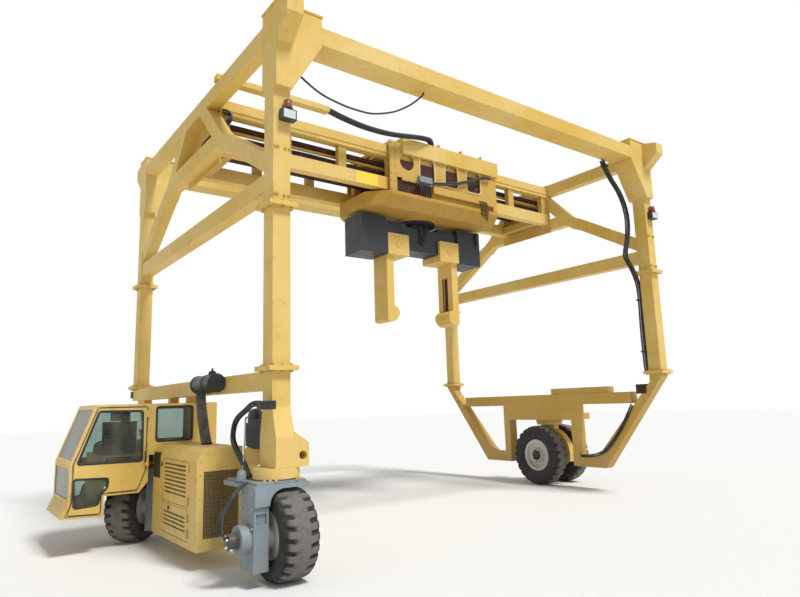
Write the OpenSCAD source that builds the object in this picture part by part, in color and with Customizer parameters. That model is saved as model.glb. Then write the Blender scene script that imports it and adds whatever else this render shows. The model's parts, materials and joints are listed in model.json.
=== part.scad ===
// Three-point straddle carrier with a travelling coil grab.
// Origin: on the ground, midway between the four leg centres. X forward, Y left, Z up. Millimetres.

/* [Frame] */
// distance between leg centres along the machine
leg_gap_x = 5220; // [5000:10:5500]
// distance between leg centres across the machine
leg_gap_y = 7040; // [6800:10:7400]
// leg tube size along the machine
leg_size_x = 225; // [200:5:250]
// leg tube size across the machine
leg_size_y = 200; // [180:5:200]
// height of the bolted joint below the upper frame
upper_joint_z = 3765; // [3650:5:3780]
// height of the bolted joint at sill level
lower_joint_z = 2041; // [2010:1:2080]
// how far a joint flange stands out round its leg
flange_edge = 65; // [45:5:80]
// thickness of the two flange plates together
flange_thick = 50; // [30:5:60]
// height of the leg heads
head_top_z = 6060; // [6030:5:6100]
// height of a leg head
head_h = 980; // [910:10:1100]
// how far a leg head reaches inward under the cross beam
haunch_reach = 470; // [380:10:520]
// how far the nose of a leg head stands out
nose_reach = 440; // [380:10:450]
// depth of the cross beams along the machine
cross_beam_x = 360; // [300:10:370]
// how far the cross beams lie below the leg heads
cross_beam_drop = 120; // [70:5:150]
// height of the cross beams
cross_beam_h = 215; // [180:5:260]
// how far the upper side rails lie below the leg heads
rail_drop = 110; // [80:5:130]
// height of the upper side rails
rail_h = 210; // [180:5:240]
// top of the lower side ties
tie_top = 4160; // [4100:5:4180]
// height of the lower side ties
tie_h = 215; // [160:5:230]
// depth of the side truss members across the machine
truss_y = 170; // [140:5:180]
// depth of the sloping members
brace_w = 200; // [160:5:220]
// top of the left sill beam
sill_top = 2016; // [2016:1:2016]
// height of the left sill beam
sill_h = 190; // [150:5:200]

/* [Right lower frame] */
// top of the right sill
right_sill_top = 1730; // [1700:5:1745]
// height of the right sill
right_sill_h = 200; // [160:5:210]
// top of the bottom beams
low_beam_top = 590; // [570:5:640]
// underside of the bottom beams
low_beam_bottom = 395; // [370:5:420]
// where the sloping legs meet the bottom beams
low_corner_x = 1490; // [1400:10:1560]
// inner face of the posts beside the twin wheel
post_x = 790; // [775:5:850]
// width of those posts
post_w = 160; // [120:5:200]

/* [Bridge] */
// half width over the bridge girders
girder_out_x = 600; // [560:5:600]
// width of a girder chord
chord_x = 150; // [120:5:170]
// how far the upper chords lie below the leg heads
chord_drop = 150; // [140:5:170]
// height of a whole girder
girder_h = 780; // [770:5:800]
// height of the chords
chord_h = 210; // [180:5:215]
// number of posts in a girder
girder_posts = 8; // [6:1:10]
// width of a girder post
girder_post_w = 140; // [100:5:160]

/* [Trolley and grab] */
// trolley centre across the machine as it stands
trolley_y = -650; // [-700:10:-600]
// length of the trolley across the machine
trolley_len = 2460; // [2440:10:2500]
// half width of the trolley
trolley_x = 715; // [710:5:740]
// how far the trolley cover stands above the girders
trolley_rise = 150; // [145:5:190]
// how far the trolley deck reaches below the girders
deck_drop = 280; // [260:5:290]
// grab centre across the machine as it stands
grab_y = -440; // [-480:10:-400]
// half length of the grab beam
grab_beam_half = 1080; // [1050:5:1100]
// distance of a grab arm's middle from the near end of the grab beam
arm_back = 355; // [350:5:375]
// thickness of a grab arm across the machine
arm_thick = 140; // [110:5:145]
// width of a grab arm along the machine
arm_width = 390; // [320:10:400]
// length of a grab arm below the middle of the grab beam
arm_len = 1470; // [1380:10:1500]
// how far a black end box reaches back over the grab beam
end_box_back = 280; // [260:5:280]
// length of the black end box
end_box_len = 530; // [510:5:550]

/* [Wheels] */
// radius of the two driven tyres on the left
tyre_r = 435; // [400:5:440]
// width of those tyres
tyre_w = 370; // [320:10:380]
// radius of the twin tyres on the right
twin_r = 565; // [520:5:570]
// width of a twin tyre
twin_w = 300; // [260:10:310]
// distance between the twin tyre centres
twin_gap = 680; // [660:10:700]
// steering angle of the wheel under the cab as it stands
front_steer = 135; // [100:5:160]

/* [Cab and pod] */
// rear face of the cab
cab_rear_x = -180; // [-185:1:-180]
// width of the cab along the machine
cab_len_x = 1080; // [1080:10:1140]
// wall thickness of the cab
cab_wall = 22; // [18:1:22]
// front end of the engine pod
pod_front_x = -205; // [-260:5:-200]
// rear end of the engine pod
pod_rear_x = -1805; // [-1830:5:-1740]
// outer side of the engine pod
pod_side_y = 4041; // [3990:5:4060]
// clearance of the pod above the ground
pod_bottom_z = 195; // [180:5:230]

/* [Hidden] */
$fn = 48;
half_x = leg_gap_x / 2;
half_y = leg_gap_y / 2;
face_x = half_x - leg_size_x / 2;
truss_in = half_y - truss_y / 2;
head_base_z = head_top_z - head_h;
cross_beam_top = head_top_z - cross_beam_drop;
rail_top = head_top_z - rail_drop;
chord_top = head_top_z - chord_drop;
low_chord_bottom = chord_top - girder_h;
low_chord_top = low_chord_bottom + chord_h;
trolley_top = chord_top + trolley_rise;
deck_bottom = low_chord_bottom - deck_drop;
yellow = [0.93, 0.80, 0.48];
grey_blue = [0.50, 0.56, 0.60];
black = [0.10, 0.11, 0.12];
tyre_black = [0.20, 0.20, 0.20];
rim_grey = [0.70, 0.69, 0.66];
steel = [0.45, 0.45, 0.46];
glass = [0.60, 0.68, 0.68, 0.5];
gap = 8;
lip_out = 12;
lip_h = 22;
fork_bottom = tyre_r * 2 + 15;
fork_top = fork_bottom + 80;
fork_tail = 540;
web_round = 150;
wheel_shift = -50;
wheel_trail = 70;
fork_gap = 45;
foot_bottom = fork_top + 100;
front_x = 360;
front_y = 4060;
ring_top = fork_top + 40;
side_frame_y = 3480;
side_frame_w = 120;
cab_floor_z = 1110;
twin_axis_y = -half_y - 220;
tyre_gap = 15;
yoke_top = twin_r * 2 + 60;
yoke_arch = twin_r - 50;
yoke_plate = 140;
lamp_drop = 320;
rail_end_y = 1880;
rail_x = 900;
arm_reach = grab_beam_half - arm_back;
end_box_y = grab_beam_half - end_box_back;
axle_r = 50;
panel_bottom = yoke_top + 50;
pod_top_z = 1242;
side_beam_z = foot_bottom;
side_beam_h = 165;
plate_gap = 5;
slew_gap = 0.5;
hinge_r = 7;
hinge_gap = 0.08;
cab_roof_z = 1743;
nose_y = 5052;
rear_end = max(nose_reach, wheel_trail + tyre_r);
centre_x = (nose_reach - rear_end) / 2;
centre_y = (nose_y + twin_axis_y - twin_gap / 2 - twin_w / 2) / 2;

// paints a part and moves it so that the origin lies under the middle of the whole machine
module painted(paint) {
    color(paint)
        translate([-centre_x, -centre_y, 0])
            children();
}

// a block between two opposite corners
module block(low, high) {
    translate(low)
        cube(high - low);
}

// an X-Z drawing made solid about the plane y
module upright(y, depth) {
    translate([0, y + depth / 2, 0])
        rotate([90, 0, 0])
            linear_extrude(depth)
                children();
}

// a Y-Z drawing made solid from x = start
module crosswise(start, depth) {
    translate([start, 0, 0])
        rotate([90, 0, 90])
            linear_extrude(depth)
                children();
}

// a straight member of width w between two points of a drawing
module strip(a, b, w) {
    side = [-(b - a)[1], (b - a)[0]] / norm(b - a) * w / 2;
    polygon([a + side, a - side, b - side, b + side]);
}

// puts a part made for the leg that points to +X +Y on one of the four corners
module corner(ex, ey) {
    translate([ex * half_x, ey * half_y, 0])
        mirror([ex < 0 ? 1 : 0, 0, 0])
            mirror([0, ey < 0 ? 1 : 0, 0])
                children();
}

function unit(v) = v / norm(v);
function inset_point(p, q, r, d) = let (a = unit(q - p), b = unit(r - q), m = [-a[1], a[0]], n = [-b[1], b[0]])
    q + (m + n) * d / (1 + m * n);
function inset(points, d) = [for (i = [0:len(points) - 1])
    inset_point(points[(i + len(points) - 1) % len(points)], points[i], points[(i + 1) % len(points)], d)];

// bolted joint plate round a leg
module flange(z) {
    x = leg_size_x / 2 + flange_edge;
    y = leg_size_y / 2 + flange_edge;
    block([-x, -y, z - flange_thick / 2], [x, y, z + flange_thick / 2]);
}

// a leg from the sill joint to its head, outward directions +X and +Y
module leg() {
    x = leg_size_x / 2;
    y = leg_size_y / 2;
    back = cross_beam_x / 2;
    block([-x, -y, lower_joint_z], [x, y, head_base_z + 1]);
    flange(lower_joint_z);
    flange(upper_joint_z);
    upright(0, leg_size_y)
        polygon([[-back, head_base_z], [back, head_base_z], [back, head_top_z - 460], [nose_reach, head_top_z - 240],
            [nose_reach, head_top_z - 70], [back, head_top_z], [-back, head_top_z]]);
    crosswise(-back, back * 2)
        polygon([[-y + 1, head_base_z], [-y + 1, head_top_z], [-haunch_reach, head_top_z],
            [-haunch_reach, cross_beam_top - cross_beam_h - 25]]);
    block([-back - 12, -haunch_reach - 12, head_top_z], [back + 12, y + 12, head_top_z + 20]);
}

module leg_rear_left() {
    painted(yellow)
        corner(-1, 1)
            leg();
}

module leg_front_left() {
    painted(yellow)
        corner(1, 1)
            leg();
}

module leg_front_right() {
    painted(yellow)
        corner(1, -1)
            leg();
}

module leg_rear_right() {
    painted(yellow)
        corner(-1, -1)
            leg();
}

// box beam across the machine between two haunches
module cross_beam(ex) {
    y = half_y - haunch_reach;
    painted(yellow)
        block([ex * half_x - cross_beam_x / 2, -y, cross_beam_top - cross_beam_h],
            [ex * half_x + cross_beam_x / 2, y, cross_beam_top]);
}

module cross_beam_rear() {
    cross_beam(-1);
}

module cross_beam_front() {
    cross_beam(1);
}

// upper side rail, two kinked braces, the bar that carries the bridge, and the lower tie
module side_truss(ey) {
    knee = [1030, low_chord_bottom];
    peak = [320, rail_top - rail_h / 2];
    foot = [half_x - 60, tie_top + 90];
    end_x = half_x - cross_beam_x / 2;
    painted(yellow) {
        upright(ey * half_y, truss_y)
            intersection() {
                translate([-face_x, tie_top - tie_h])
                    square([face_x * 2, head_base_z - tie_top + tie_h]);
                union() {
                    translate([-face_x, tie_top - tie_h])
                        square([face_x * 2, tie_h]);
                    for (s = [-1, 1])
                        strip([s * foot[0], foot[1]], [s * knee[0], knee[1]], brace_w);
                }
            }
        upright(ey * half_y, truss_y)
            union() {
                translate([-end_x, rail_top - rail_h])
                    square([end_x * 2, rail_h]);
                translate([-knee[0] - 40, knee[1] - 110])
                    square([knee[0] * 2 + 80, 220]);
                for (s = [-1, 1]) {
                    strip([s * knee[0], knee[1]], [s * peak[0], peak[1]], brace_w);
                    strip([s * (knee[0] + 210), knee[1] - 150], [s * knee[0], knee[1]], brace_w);
                }
            }
    }
}

module side_truss_left() {
    side_truss(1);
}

module side_truss_right() {
    side_truss(-1);
}

// rear left foot: leg end, widening plates, foot box with its hole, slewing ring
module foot_rear_left() {
    x = leg_size_x / 2;
    y = leg_size_y / 2;
    top = lower_joint_z - flange_thick / 2;
    box_top = foot_bottom + 230;
    painted(yellow)
        corner(-1, 1)
            difference() {
                union() {
                    upright(0, leg_size_y)
                        polygon([[-x - 60, foot_bottom], [-x - 60, box_top + 60], [-x, box_top + 360], [-x, top], [x, top],
                            [x, box_top + 360], [x + 90, box_top + 60], [x + 90, foot_bottom]]);
                    block([-x - 60, -y - 160, foot_bottom], [x + 90, y, box_top]);
                    crosswise(x + 60, 30)
                        polygon([[-y, box_top - 1], [-y, box_top + 110], [-y - 160, box_top], [-y - 160, box_top - 1]]);
                    translate([0, 0, fork_top])
                        cylinder(r = 230, h = foot_bottom - fork_top);
                }
                translate([-x - 120, -y - 95, foot_bottom + 110])
                    rotate([0, 90, 0])
                        cylinder(r = 42, h = 500);
            }
}

// left sill, the sloping front strut, the low beam, the post and the arm over the front wheel
module lower_frame_left() {
    x0 = -half_x + leg_size_x / 2 + 60;
    low = side_beam_z - 165;
    post = front_x + 150;
    painted(yellow) {
        block([-face_x, half_y - leg_size_y / 2, sill_top - sill_h], [half_x + leg_size_x / 2, half_y + leg_size_y / 2, sill_top]);
        upright(side_frame_y, side_frame_w)
            polygon([[x0, side_beam_z + side_beam_h], [x0, side_beam_z], [pod_rear_x - 175, side_beam_z],
                [pod_rear_x - 15, low], [front_x - 150, low], [front_x - 150, low_beam_top],
                [pod_front_x + gap, low_beam_top], [pod_front_x + gap, low_beam_bottom],
                [low_corner_x, low_beam_bottom], [half_x + leg_size_x / 2, sill_top - sill_h],
                [half_x - 300, sill_top - sill_h], [low_corner_x - 90, low_beam_top], [post, low_beam_top],
                [post, ring_top + 80], [pod_rear_x + 55, ring_top + 80],
                [pod_rear_x - 95, side_beam_z + side_beam_h]]);
        block([front_x - 150, side_frame_y + side_frame_w / 2 - 1, ring_top], [post, front_y + 235, ring_top + 80]);
        translate([front_x, front_y, fork_top])
            cylinder(r = 230, h = ring_top - fork_top);
        for (p = [[-100, side_frame_y], [post - 60, side_frame_y], [post - 60, front_y + 180], [front_x - 90, front_y + 180]])
            translate([p[0], p[1], ring_top + 80])
                cylinder(r = 40, h = cab_floor_z - ring_top - 80);
        for (x = [0, cab_rear_x + cab_len_x - 100])
            block([x - 60, half_y - 60, cab_roof_z], [x + 60, half_y + 60, sill_top - sill_h + 1]);
    }
}

// right sill, sloping legs, bottom beams, posts and the panel over the twin wheel
module lower_frame_right() {
    top = lower_joint_z - flange_thick / 2;
    painted(yellow) {
        upright(-half_y, leg_size_y)
            difference() {
                union() {
                    for (s = [-1, 1])
                        polygon([[s * (half_x + leg_size_x / 2), top], [s * (half_x + leg_size_x / 2), top - 40],
                            [s * low_corner_x, low_beam_bottom], [s * post_x, low_beam_bottom],
                            [s * post_x, low_beam_top], [s * (low_corner_x - 190), low_beam_top],
                            [s * (low_corner_x - 90), low_beam_top + 70], [s * face_x, top - 130], [s * face_x, top]]);
                    translate([-half_x + 500, right_sill_top - right_sill_h])
                        square([half_x * 2 - 1000, right_sill_h]);
                    for (s = [-1, 1])
                        translate([s * (post_x + post_w / 2) - post_w / 2, low_beam_bottom])
                            square([post_w, right_sill_top - low_beam_bottom - right_sill_h + 1]);
                    translate([-post_x - 1, panel_bottom])
                        square([post_x * 2 + 2, right_sill_top - right_sill_h - panel_bottom + 1]);
                }
                for (s = [-1, 1])
                    polygon([[s * 2030, right_sill_top - right_sill_h], [s * (post_x + post_w), right_sill_top - right_sill_h],
                        [s * (post_x + post_w), low_beam_top], [s * (low_corner_x - 190), low_beam_top], [s * (low_corner_x - 90), low_beam_top + 70]]);
            }
        block([-post_x, twin_axis_y - 260, panel_bottom], [post_x, -half_y - leg_size_y / 2 + 1, panel_bottom + 120]);
        block([-1650, -half_y - 90, right_sill_top], [-350, -half_y + 90, right_sill_top + 110]);
        translate([0, twin_axis_y, yoke_top])
            cylinder(r = 260, h = panel_bottom - yoke_top);
    }
}

// four chords of the two girders, the upper ones with a lip on the outer side
module bridge_chords() {
    y = truss_in - 22;
    painted(yellow)
        for (s = [-1, 1])
            translate([s * (girder_out_x - chord_x / 2), 0, 0]) {
                block([-chord_x / 2, -y, chord_top - chord_h], [chord_x / 2, y, chord_top]);
                block([-chord_x / 2, -y, low_chord_bottom], [chord_x / 2, y, low_chord_top]);
                translate([s * (chord_x / 2 + lip_out / 2), 0, chord_top - chord_h * 0.65])
                    cube([lip_out + 1, y * 2, lip_h], center = true);
            }
}

// posts between the chords
module bridge_posts() {
    y = truss_in - 22;
    painted(yellow)
        for (s = [-1, 1], i = [0:girder_posts - 1])
            translate([s * (girder_out_x - chord_x / 2), (i / (girder_posts - 1) - 0.5) * (y * 2 - girder_post_w), 0])
                block([-chord_x / 2 + 25, -girder_post_w / 2, low_chord_top],
                    [chord_x / 2 - 25, girder_post_w / 2, chord_top - chord_h]);
}

// end plates and ties that join the two girders to the side trusses
module bridge_ends() {
    low = low_chord_bottom;
    painted(yellow)
        for (s = [-1, 1]) {
            block([-640, s * (truss_in - 11) - 11, low - 170], [640, s * (truss_in - 11) + 11, chord_top + 40]);
            block([-girder_out_x + chord_x, s * (truss_in - 200) - 60, low + 20], [girder_out_x - chord_x, s * (truss_in - 200) + 60, low + 150]);
        }
}

// rail that leads the main hose out to the trolley
module hose_rail() {
    painted(yellow) {
        block([-rail_x - 65, rail_end_y, rail_top + 40], [65 - rail_x, truss_in + truss_y, rail_top + 120]);
        block([-rail_x - 60, truss_in + 20, rail_top], [60 - rail_x, truss_in + truss_y - 20, rail_top + 41]);
    }
}

cab_outline = [[3238, cab_roof_z], [3238, cab_floor_z], [4100, cab_floor_z], [4100, 790], [4201, 665], [4598, 665],
    [4598, 430], [nose_y, 450], [4980, 610], [4981, 1047], [4730, cab_roof_z]];
room_outline = [[3238, cab_roof_z], [3238, cab_floor_z], [4598, cab_floor_z], [4598, 430], [nose_y, 450], [4980, 610],
    [4981, 1047], [4730, cab_roof_z]];
door_outline = [[4125, 1715], [4125, 930], [4215, 690], [4622, 690], [4622, 458], [5010, 476], [4955, 612], [4955, 1050], [4712, 1715]];
door_window = [[4190, 1655], [4180, 1045], [4905, 1055], [4690, 1665]];
low_window = [[4560, 870], [4565, 760], [4640, 700], [4662, 575], [4920, 560], [4935, 885]];
cab_hinges = [1030, 1620];
cab_hinge_x = cab_rear_x - 22;
cab_hinge_y = 4112;
rear_window = [[3563, 1700], [3563, 1273], [4017, 1273], [4017, 1700]];
front_window = [[3330, 1690], [3330, 1250], [4090, 1250], [4090, 1690]];

// a strip that lies inside the outline's edge from a to b, short of both corners
module edge_strip(a, b, depth, w, short) {
    along = (b - a) / norm(b - a);
    shift = [-along[1], along[0]] * depth;
    strip(a + shift + along * short, b + shift - along * short, w);
}

// upright hinge pin between two ears; low and high are the ears' plan corners, counted from the pin
module hinge_pin(p, h, low, high) {
    translate(p) {
        translate([0, 0, -h / 2 - 14])
            cylinder(r = hinge_r, h = h + 28);
        for (z = [-h / 2 - 14, h / 2 + 2])
            translate([0, 0, z]) {
                cylinder(r = hinge_r * 1.7, h = 12);
                block([low[0], low[1], 0], [high[0], high[1], 12]);
            }
    }
}

// the door's half of that hinge
module hinge_knuckle(p, h, low, high) {
    translate(p)
        difference() {
            union() {
                translate([0, 0, -h / 2])
                    cylinder(r = hinge_r * 1.7, h = h);
                block([low[0], low[1], -h / 2], [high[0], high[1], h / 2]);
            }
            translate([0, 0, -h])
                cylinder(r = hinge_r + hinge_gap, h = h * 2);
        }
}

// hollow cab with its windows, door opening and wheel well
module cab_shell() {
    front = cab_rear_x + cab_len_x;
    painted(yellow)
        for (z = cab_hinges)
            hinge_pin([cab_hinge_x, cab_hinge_y, z], 90, [-hinge_r, -hinge_r], [cab_rear_x - cab_hinge_x + 1, hinge_r]);
    painted(yellow)
        difference() {
            crosswise(cab_rear_x, cab_len_x)
                polygon(cab_outline);
            crosswise(cab_rear_x + cab_wall, cab_len_x - cab_wall * 2)
                polygon(inset(room_outline, cab_wall));
            block([cab_rear_x + cab_wall, 4099, 600], [front - cab_wall, 4598, cab_floor_z]);
            crosswise(cab_rear_x - 1, cab_wall + 2) {
                polygon(door_outline);
                polygon(rear_window);
            }
            crosswise(front - cab_wall - 1, cab_wall + 2) {
                polygon(door_window);
                polygon(low_window);
                polygon(front_window);
            }
            crosswise(cab_rear_x + 70, cab_len_x - 140) {
                edge_strip(cab_outline[9], cab_outline[10], cab_wall / 2, cab_wall + 8, 60);
                edge_strip(cab_outline[8], cab_outline[9], cab_wall / 2, cab_wall + 8, 45);
            }
        }
}

// fixed panes
module cab_glass() {
    front = cab_rear_x + cab_len_x;
    painted(glass) {
        crosswise(cab_rear_x + 8, 6)
            polygon(rear_window);
        crosswise(front - 14, 6) {
            polygon(door_window);
            polygon(low_window);
            polygon(front_window);
        }
        crosswise(cab_rear_x + 70, cab_len_x - 140) {
            edge_strip(cab_outline[9], cab_outline[10], cab_wall / 2, 6, 60);
            edge_strip(cab_outline[8], cab_outline[9], cab_wall / 2, 6, 45);
        }
    }
}

module cab_door() {
    painted(yellow) {
        crosswise(cab_rear_x - 10, cab_wall + 5)
            difference() {
                polygon(inset(door_outline, 6));
                polygon(door_window);
                polygon(low_window);
            }
        for (z = cab_hinges)
            hinge_knuckle([cab_hinge_x, cab_hinge_y, z], 90, [4, 0], [16, 40]);
    }
}

module cab_door_glass() {
    painted(glass)
        crosswise(cab_rear_x + 4, 6) {
            polygon(door_window);
            polygon(low_window);
        }
}

// seat that faces forward
module driver_seat() {
    painted(black) {
        block([60, 4190, 1150], [520, 4610, 1255]);
        block([0, 4200, 1180], [110, 4600, 1530]);
        block([20, 4290, 1525], [100, 4510, 1690]);
        block([150, 4290, cab_floor_z + cab_wall], [430, 4510, 1151]);
    }
}

pod_inner_y = side_frame_y + side_frame_w / 2;
pod_shoulder_z = side_beam_z - 165;
pod_outline = [[pod_side_y, pod_bottom_z], [pod_side_y, 1110], [pod_side_y - 45, 1195], [pod_side_y - 110, pod_top_z],
    [pod_inner_y, pod_top_z], [pod_inner_y, pod_shoulder_z], [3350, pod_shoulder_z], [3350, pod_bottom_z]];
door_front_x = -600;
engine_len = 800;
engine_w = 500;
door_rear_x = -1540;
pod_hinges = [345, 505, 680, 1020];
pod_hinge_x = door_rear_x - 6;
pod_hinge_y = pod_side_y + 14;

// engine housing, a thin shell with door and grille openings
module pod_body() {
    painted(yellow)
        difference() {
            crosswise(pod_rear_x, pod_front_x - pod_rear_x)
                polygon(pod_outline);
            crosswise(pod_rear_x + 30, pod_front_x - pod_rear_x - 60)
                polygon(inset(pod_outline, 30));
            block([door_rear_x, pod_side_y - 60, 610], [door_front_x, pod_side_y + 1, 1090]);
            block([door_rear_x, pod_side_y - 60, 260], [door_front_x, pod_side_y + 1, 590]);
            block([pod_rear_x - 1, 3580, 320], [pod_rear_x + 31, 3965, 1000]);
        }
    painted(yellow)
        for (z = pod_hinges)
            hinge_pin([pod_hinge_x, pod_hinge_y, z], 60, [-hinge_r, pod_side_y - pod_hinge_y - 1], [hinge_r, 0]);
}

// louvred panel at the rear end
module pod_grilles() {
    painted(black)
        difference() {
            block([pod_rear_x + 5, 3580, 320], [pod_rear_x + 25, 3965, 1000]);
            for (i = [0:15])
                block([pod_rear_x, 3605, 345 + i * 40], [pod_rear_x + 30, 3940, 363 + i * 40]);
        }
}

// a door skin with a louvre field
module louvre_door(z0, z1, field, hinges) {
    x0 = door_rear_x + 5;
    x1 = door_front_x - 5;
    y = pod_side_y;
    painted(yellow) {
        difference() {
            block([x0, y - 25, z0 + 5], [x1, y - 2, z1 - 5]);
            for (z = [field[0]:45:field[1]])
                block([x0 + 90, y - 30, z], [x1 - 60, y, z + 20]);
        }
        for (z = hinges)
            hinge_knuckle([pod_hinge_x, pod_hinge_y, z], 60, [8, -18], [45, -4]);
    }
}

module pod_door_upper() {
    louvre_door(610, 1090, [710, 1040], [pod_hinges[2], pod_hinges[3]]);
}

module pod_door_lower() {
    louvre_door(260, 590, [350, 500], [pod_hinges[0], pod_hinges[1]]);
}

module engine_block() {
    painted(steel)
        translate([pod_rear_x + 205, half_y - engine_w / 4, pod_bottom_z + 30])
            cube([engine_len, engine_w, pod_shoulder_z - pod_bottom_z - 90]);
}

module air_cleaner() {
    painted(black)
        translate([-1480, half_y + leg_size_y / 2 + 105, sill_top - 70])
            rotate([0, 90, 0])
                cylinder(r = 102, h = 620);
    painted(black)
        for (x = [-1400, -1000])
            block([x, half_y + leg_size_y / 2, sill_top - 130], [x + 40, half_y + leg_size_y / 2 + 60, sill_top - 10]);
}

intake_route = [[-960, half_y + leg_size_y / 2 + 105, sill_top - 150], [-960, half_y + leg_size_y / 2 + 105, sill_top - 260],
    [-1010, half_y + 190, 1500], [-1090, half_y + 170, pod_top_z - 2]];

// pipe from the air cleaner into the pod
module intake_pipe() {
    painted(steel)
        difference() {
            for (i = [0:2])
                hull() {
                    translate(intake_route[i])
                        sphere(r = 62, $fn = 16);
                    translate(intake_route[i + 1])
                        sphere(r = 62, $fn = 16);
                }
            translate([-1480, half_y + leg_size_y / 2 + 105, sill_top - 70])
                rotate([0, 90, 0])
                    cylinder(r = 102.3, h = 620);
            block([-1500, 3500, pod_top_z - 300], [-500, 4100, pod_top_z + 0.3]);
        }
}

// lamps with beacons on the legs
module work_lamps() {
    painted(black) {
        for (ey = [-1, 1])
            translate([-half_x - leg_size_x / 2 - 45, ey * (half_y - 50 * ey), head_base_z - lamp_drop]) {
                block([-45, -85, -60], [45, 85, 60]);
                block([-10, -30, 59], [10, 30, 80]);
                translate([0, 0, 80])
                    cylinder(r = 45, h = 85);
            }
        translate([half_x + leg_size_x / 2 + 40, half_y + 60, sill_top - 90])
            block([-40, -60, -55], [40, 60, 55]);
    }
}

// single-sided wheel fork about its steering axis, wheel axle along Y, column on the +Y side
module fork(trail, tail) {
    inner = wheel_shift + tyre_w / 2 + fork_gap;
    outer = inner + 150;
    back = -trail - 150;
    difference() {
        union() {
            block([-250, -240, fork_bottom], [tail, outer, fork_top - 40]);
            block([-225, -215, fork_top - 41], [tail - 25, outer - 25, fork_top - 15]);
            block([back, inner, 150], [150 - trail, outer, fork_bottom + 1]);
            crosswise(back - 30, 31)
                difference() {
                    translate([inner - web_round, fork_bottom - web_round])
                        square([outer - inner + web_round, web_round + 1]);
                    translate([inner - web_round, fork_bottom - web_round])
                        circle(r = web_round);
                }
            translate([-trail, outer - 1, tyre_r])
                rotate([-90, 0, 0])
                    cylinder(r = 135, h = 105);
        }
        translate([-trail, inner - 100, tyre_r])
            rotate([-90, 0, 0])
                cylinder(r = 46, h = 200);
        block([back - 1, inner + 22, fork_bottom - 310], [back + 24, outer - 22, fork_bottom - 215]);
    }
    translate([0, 0, fork_top - 16])
        cylinder(r = 215, h = 16 - slew_gap);
}

module rim(trail) {
    inner = wheel_shift + tyre_w / 2 + fork_gap;
    translate([-trail, wheel_shift, tyre_r])
        rotate([-90, 0, 0]) {
            translate([0, 0, -150])
                cylinder(r = 225, h = 300);
            translate([0, 0, 149])
                cylinder(r = 110, h = inner - wheel_shift - 149 - 6);
            translate([0, 0, 149])
                cylinder(r = 45.9, h = inner - wheel_shift - 149 + 90);
        }
}

// a tyre about the Y axis
module tyre(r, w, hole) {
    rotate([90, 0, 0])
        rotate_extrude($fn = 96)
            polygon([[hole, -w * 0.42], [r * 0.86, -w / 2], [r * 0.95, -w * 0.47], [r, -w * 0.38], [r, w * 0.38], [r * 0.95, w * 0.47],
                [r * 0.86, w / 2], [hole, w * 0.42]]);
}

module wheel_tyre(trail) {
    translate([-trail, wheel_shift, tyre_r])
        tyre(tyre_r, tyre_w, 225.2);
}

module at_rear_left(paint) {
    painted(paint)
        translate([-half_x, half_y, 0])
            children();
}

module at_front_left(paint) {
    painted(paint)
        translate([front_x, front_y, 0])
            rotate([0, 0, front_steer])
                children();
}

module fork_rear_left() {
    at_rear_left(grey_blue)
        fork(wheel_trail, fork_tail);
}

module rim_rear_left() {
    at_rear_left(rim_grey)
        rim(wheel_trail);
}

module tyre_rear_left() {
    at_rear_left(tyre_black)
        wheel_tyre(wheel_trail);
}

module fork_front_left() {
    at_front_left(grey_blue)
        fork(0, 230);
}

module rim_front_left() {
    at_front_left(rim_grey)
        rim(0);
}

module tyre_front_left() {
    at_front_left(tyre_black)
        wheel_tyre(0);
}

// yoke between the twin wheels: an arched plate under a slewing disc
module twin_yoke() {
    painted(yellow)
        translate([0, twin_axis_y, 0]) {
            translate([0, 0, twin_r * 2 + tyre_gap])
                cylinder(r = 250, h = yoke_top - twin_r * 2 - tyre_gap - slew_gap);
            upright(0, yoke_plate)
                difference() {
                    union() {
                        intersection() {
                            translate([0, twin_r])
                                circle(r = yoke_arch);
                            translate([-yoke_arch - 1, twin_r - 130])
                                square([yoke_arch * 2 + 2, yoke_arch * 2]);
                        }
                        translate([-170, twin_r])
                            square([340, twin_r + tyre_gap + 1]);
                    }
                    translate([0, twin_r])
                        circle(r = axle_r + hinge_gap);
                }
        }
}

module twin_rims() {
    painted(rim_grey)
        translate([0, twin_axis_y, twin_r]) {
            rotate([90, 0, 0])
                cylinder(r = axle_r, h = twin_gap + 20, center = true);
            for (s = [-1, 1])
                translate([0, s * twin_gap / 2, 0])
                    rotate([90, 0, 0])
                        difference() {
                            cylinder(r = 290, h = 230, center = true);
                            translate([0, 0, -s * 60])
                                mirror([0, 0, s < 0 ? 1 : 0])
                                    translate([0, 0, -200])
                                        cylinder(r = 240, h = 200);
                        }
        }
}

module twin_tyres() {
    painted(tyre_black)
        translate([0, twin_axis_y, twin_r])
            for (s = [-1, 1])
                translate([0, s * twin_gap / 2, 0])
                    tyre(twin_r, twin_w, 290.2);
}

trolley_low = trolley_y - trolley_len / 2;
trolley_high = trolley_y + trolley_len / 2;
cover_high = trolley_high - 250;
side_in = girder_out_x + 40;
side_plate = 30;
top_beam_h = 275;
sill_beam_h = 130;
deck_top = low_chord_bottom - 40;
window_sill = low_chord_top + 40;
trolley_windows = [[375, 335], [945, 307], [1457, 350]];

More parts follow.
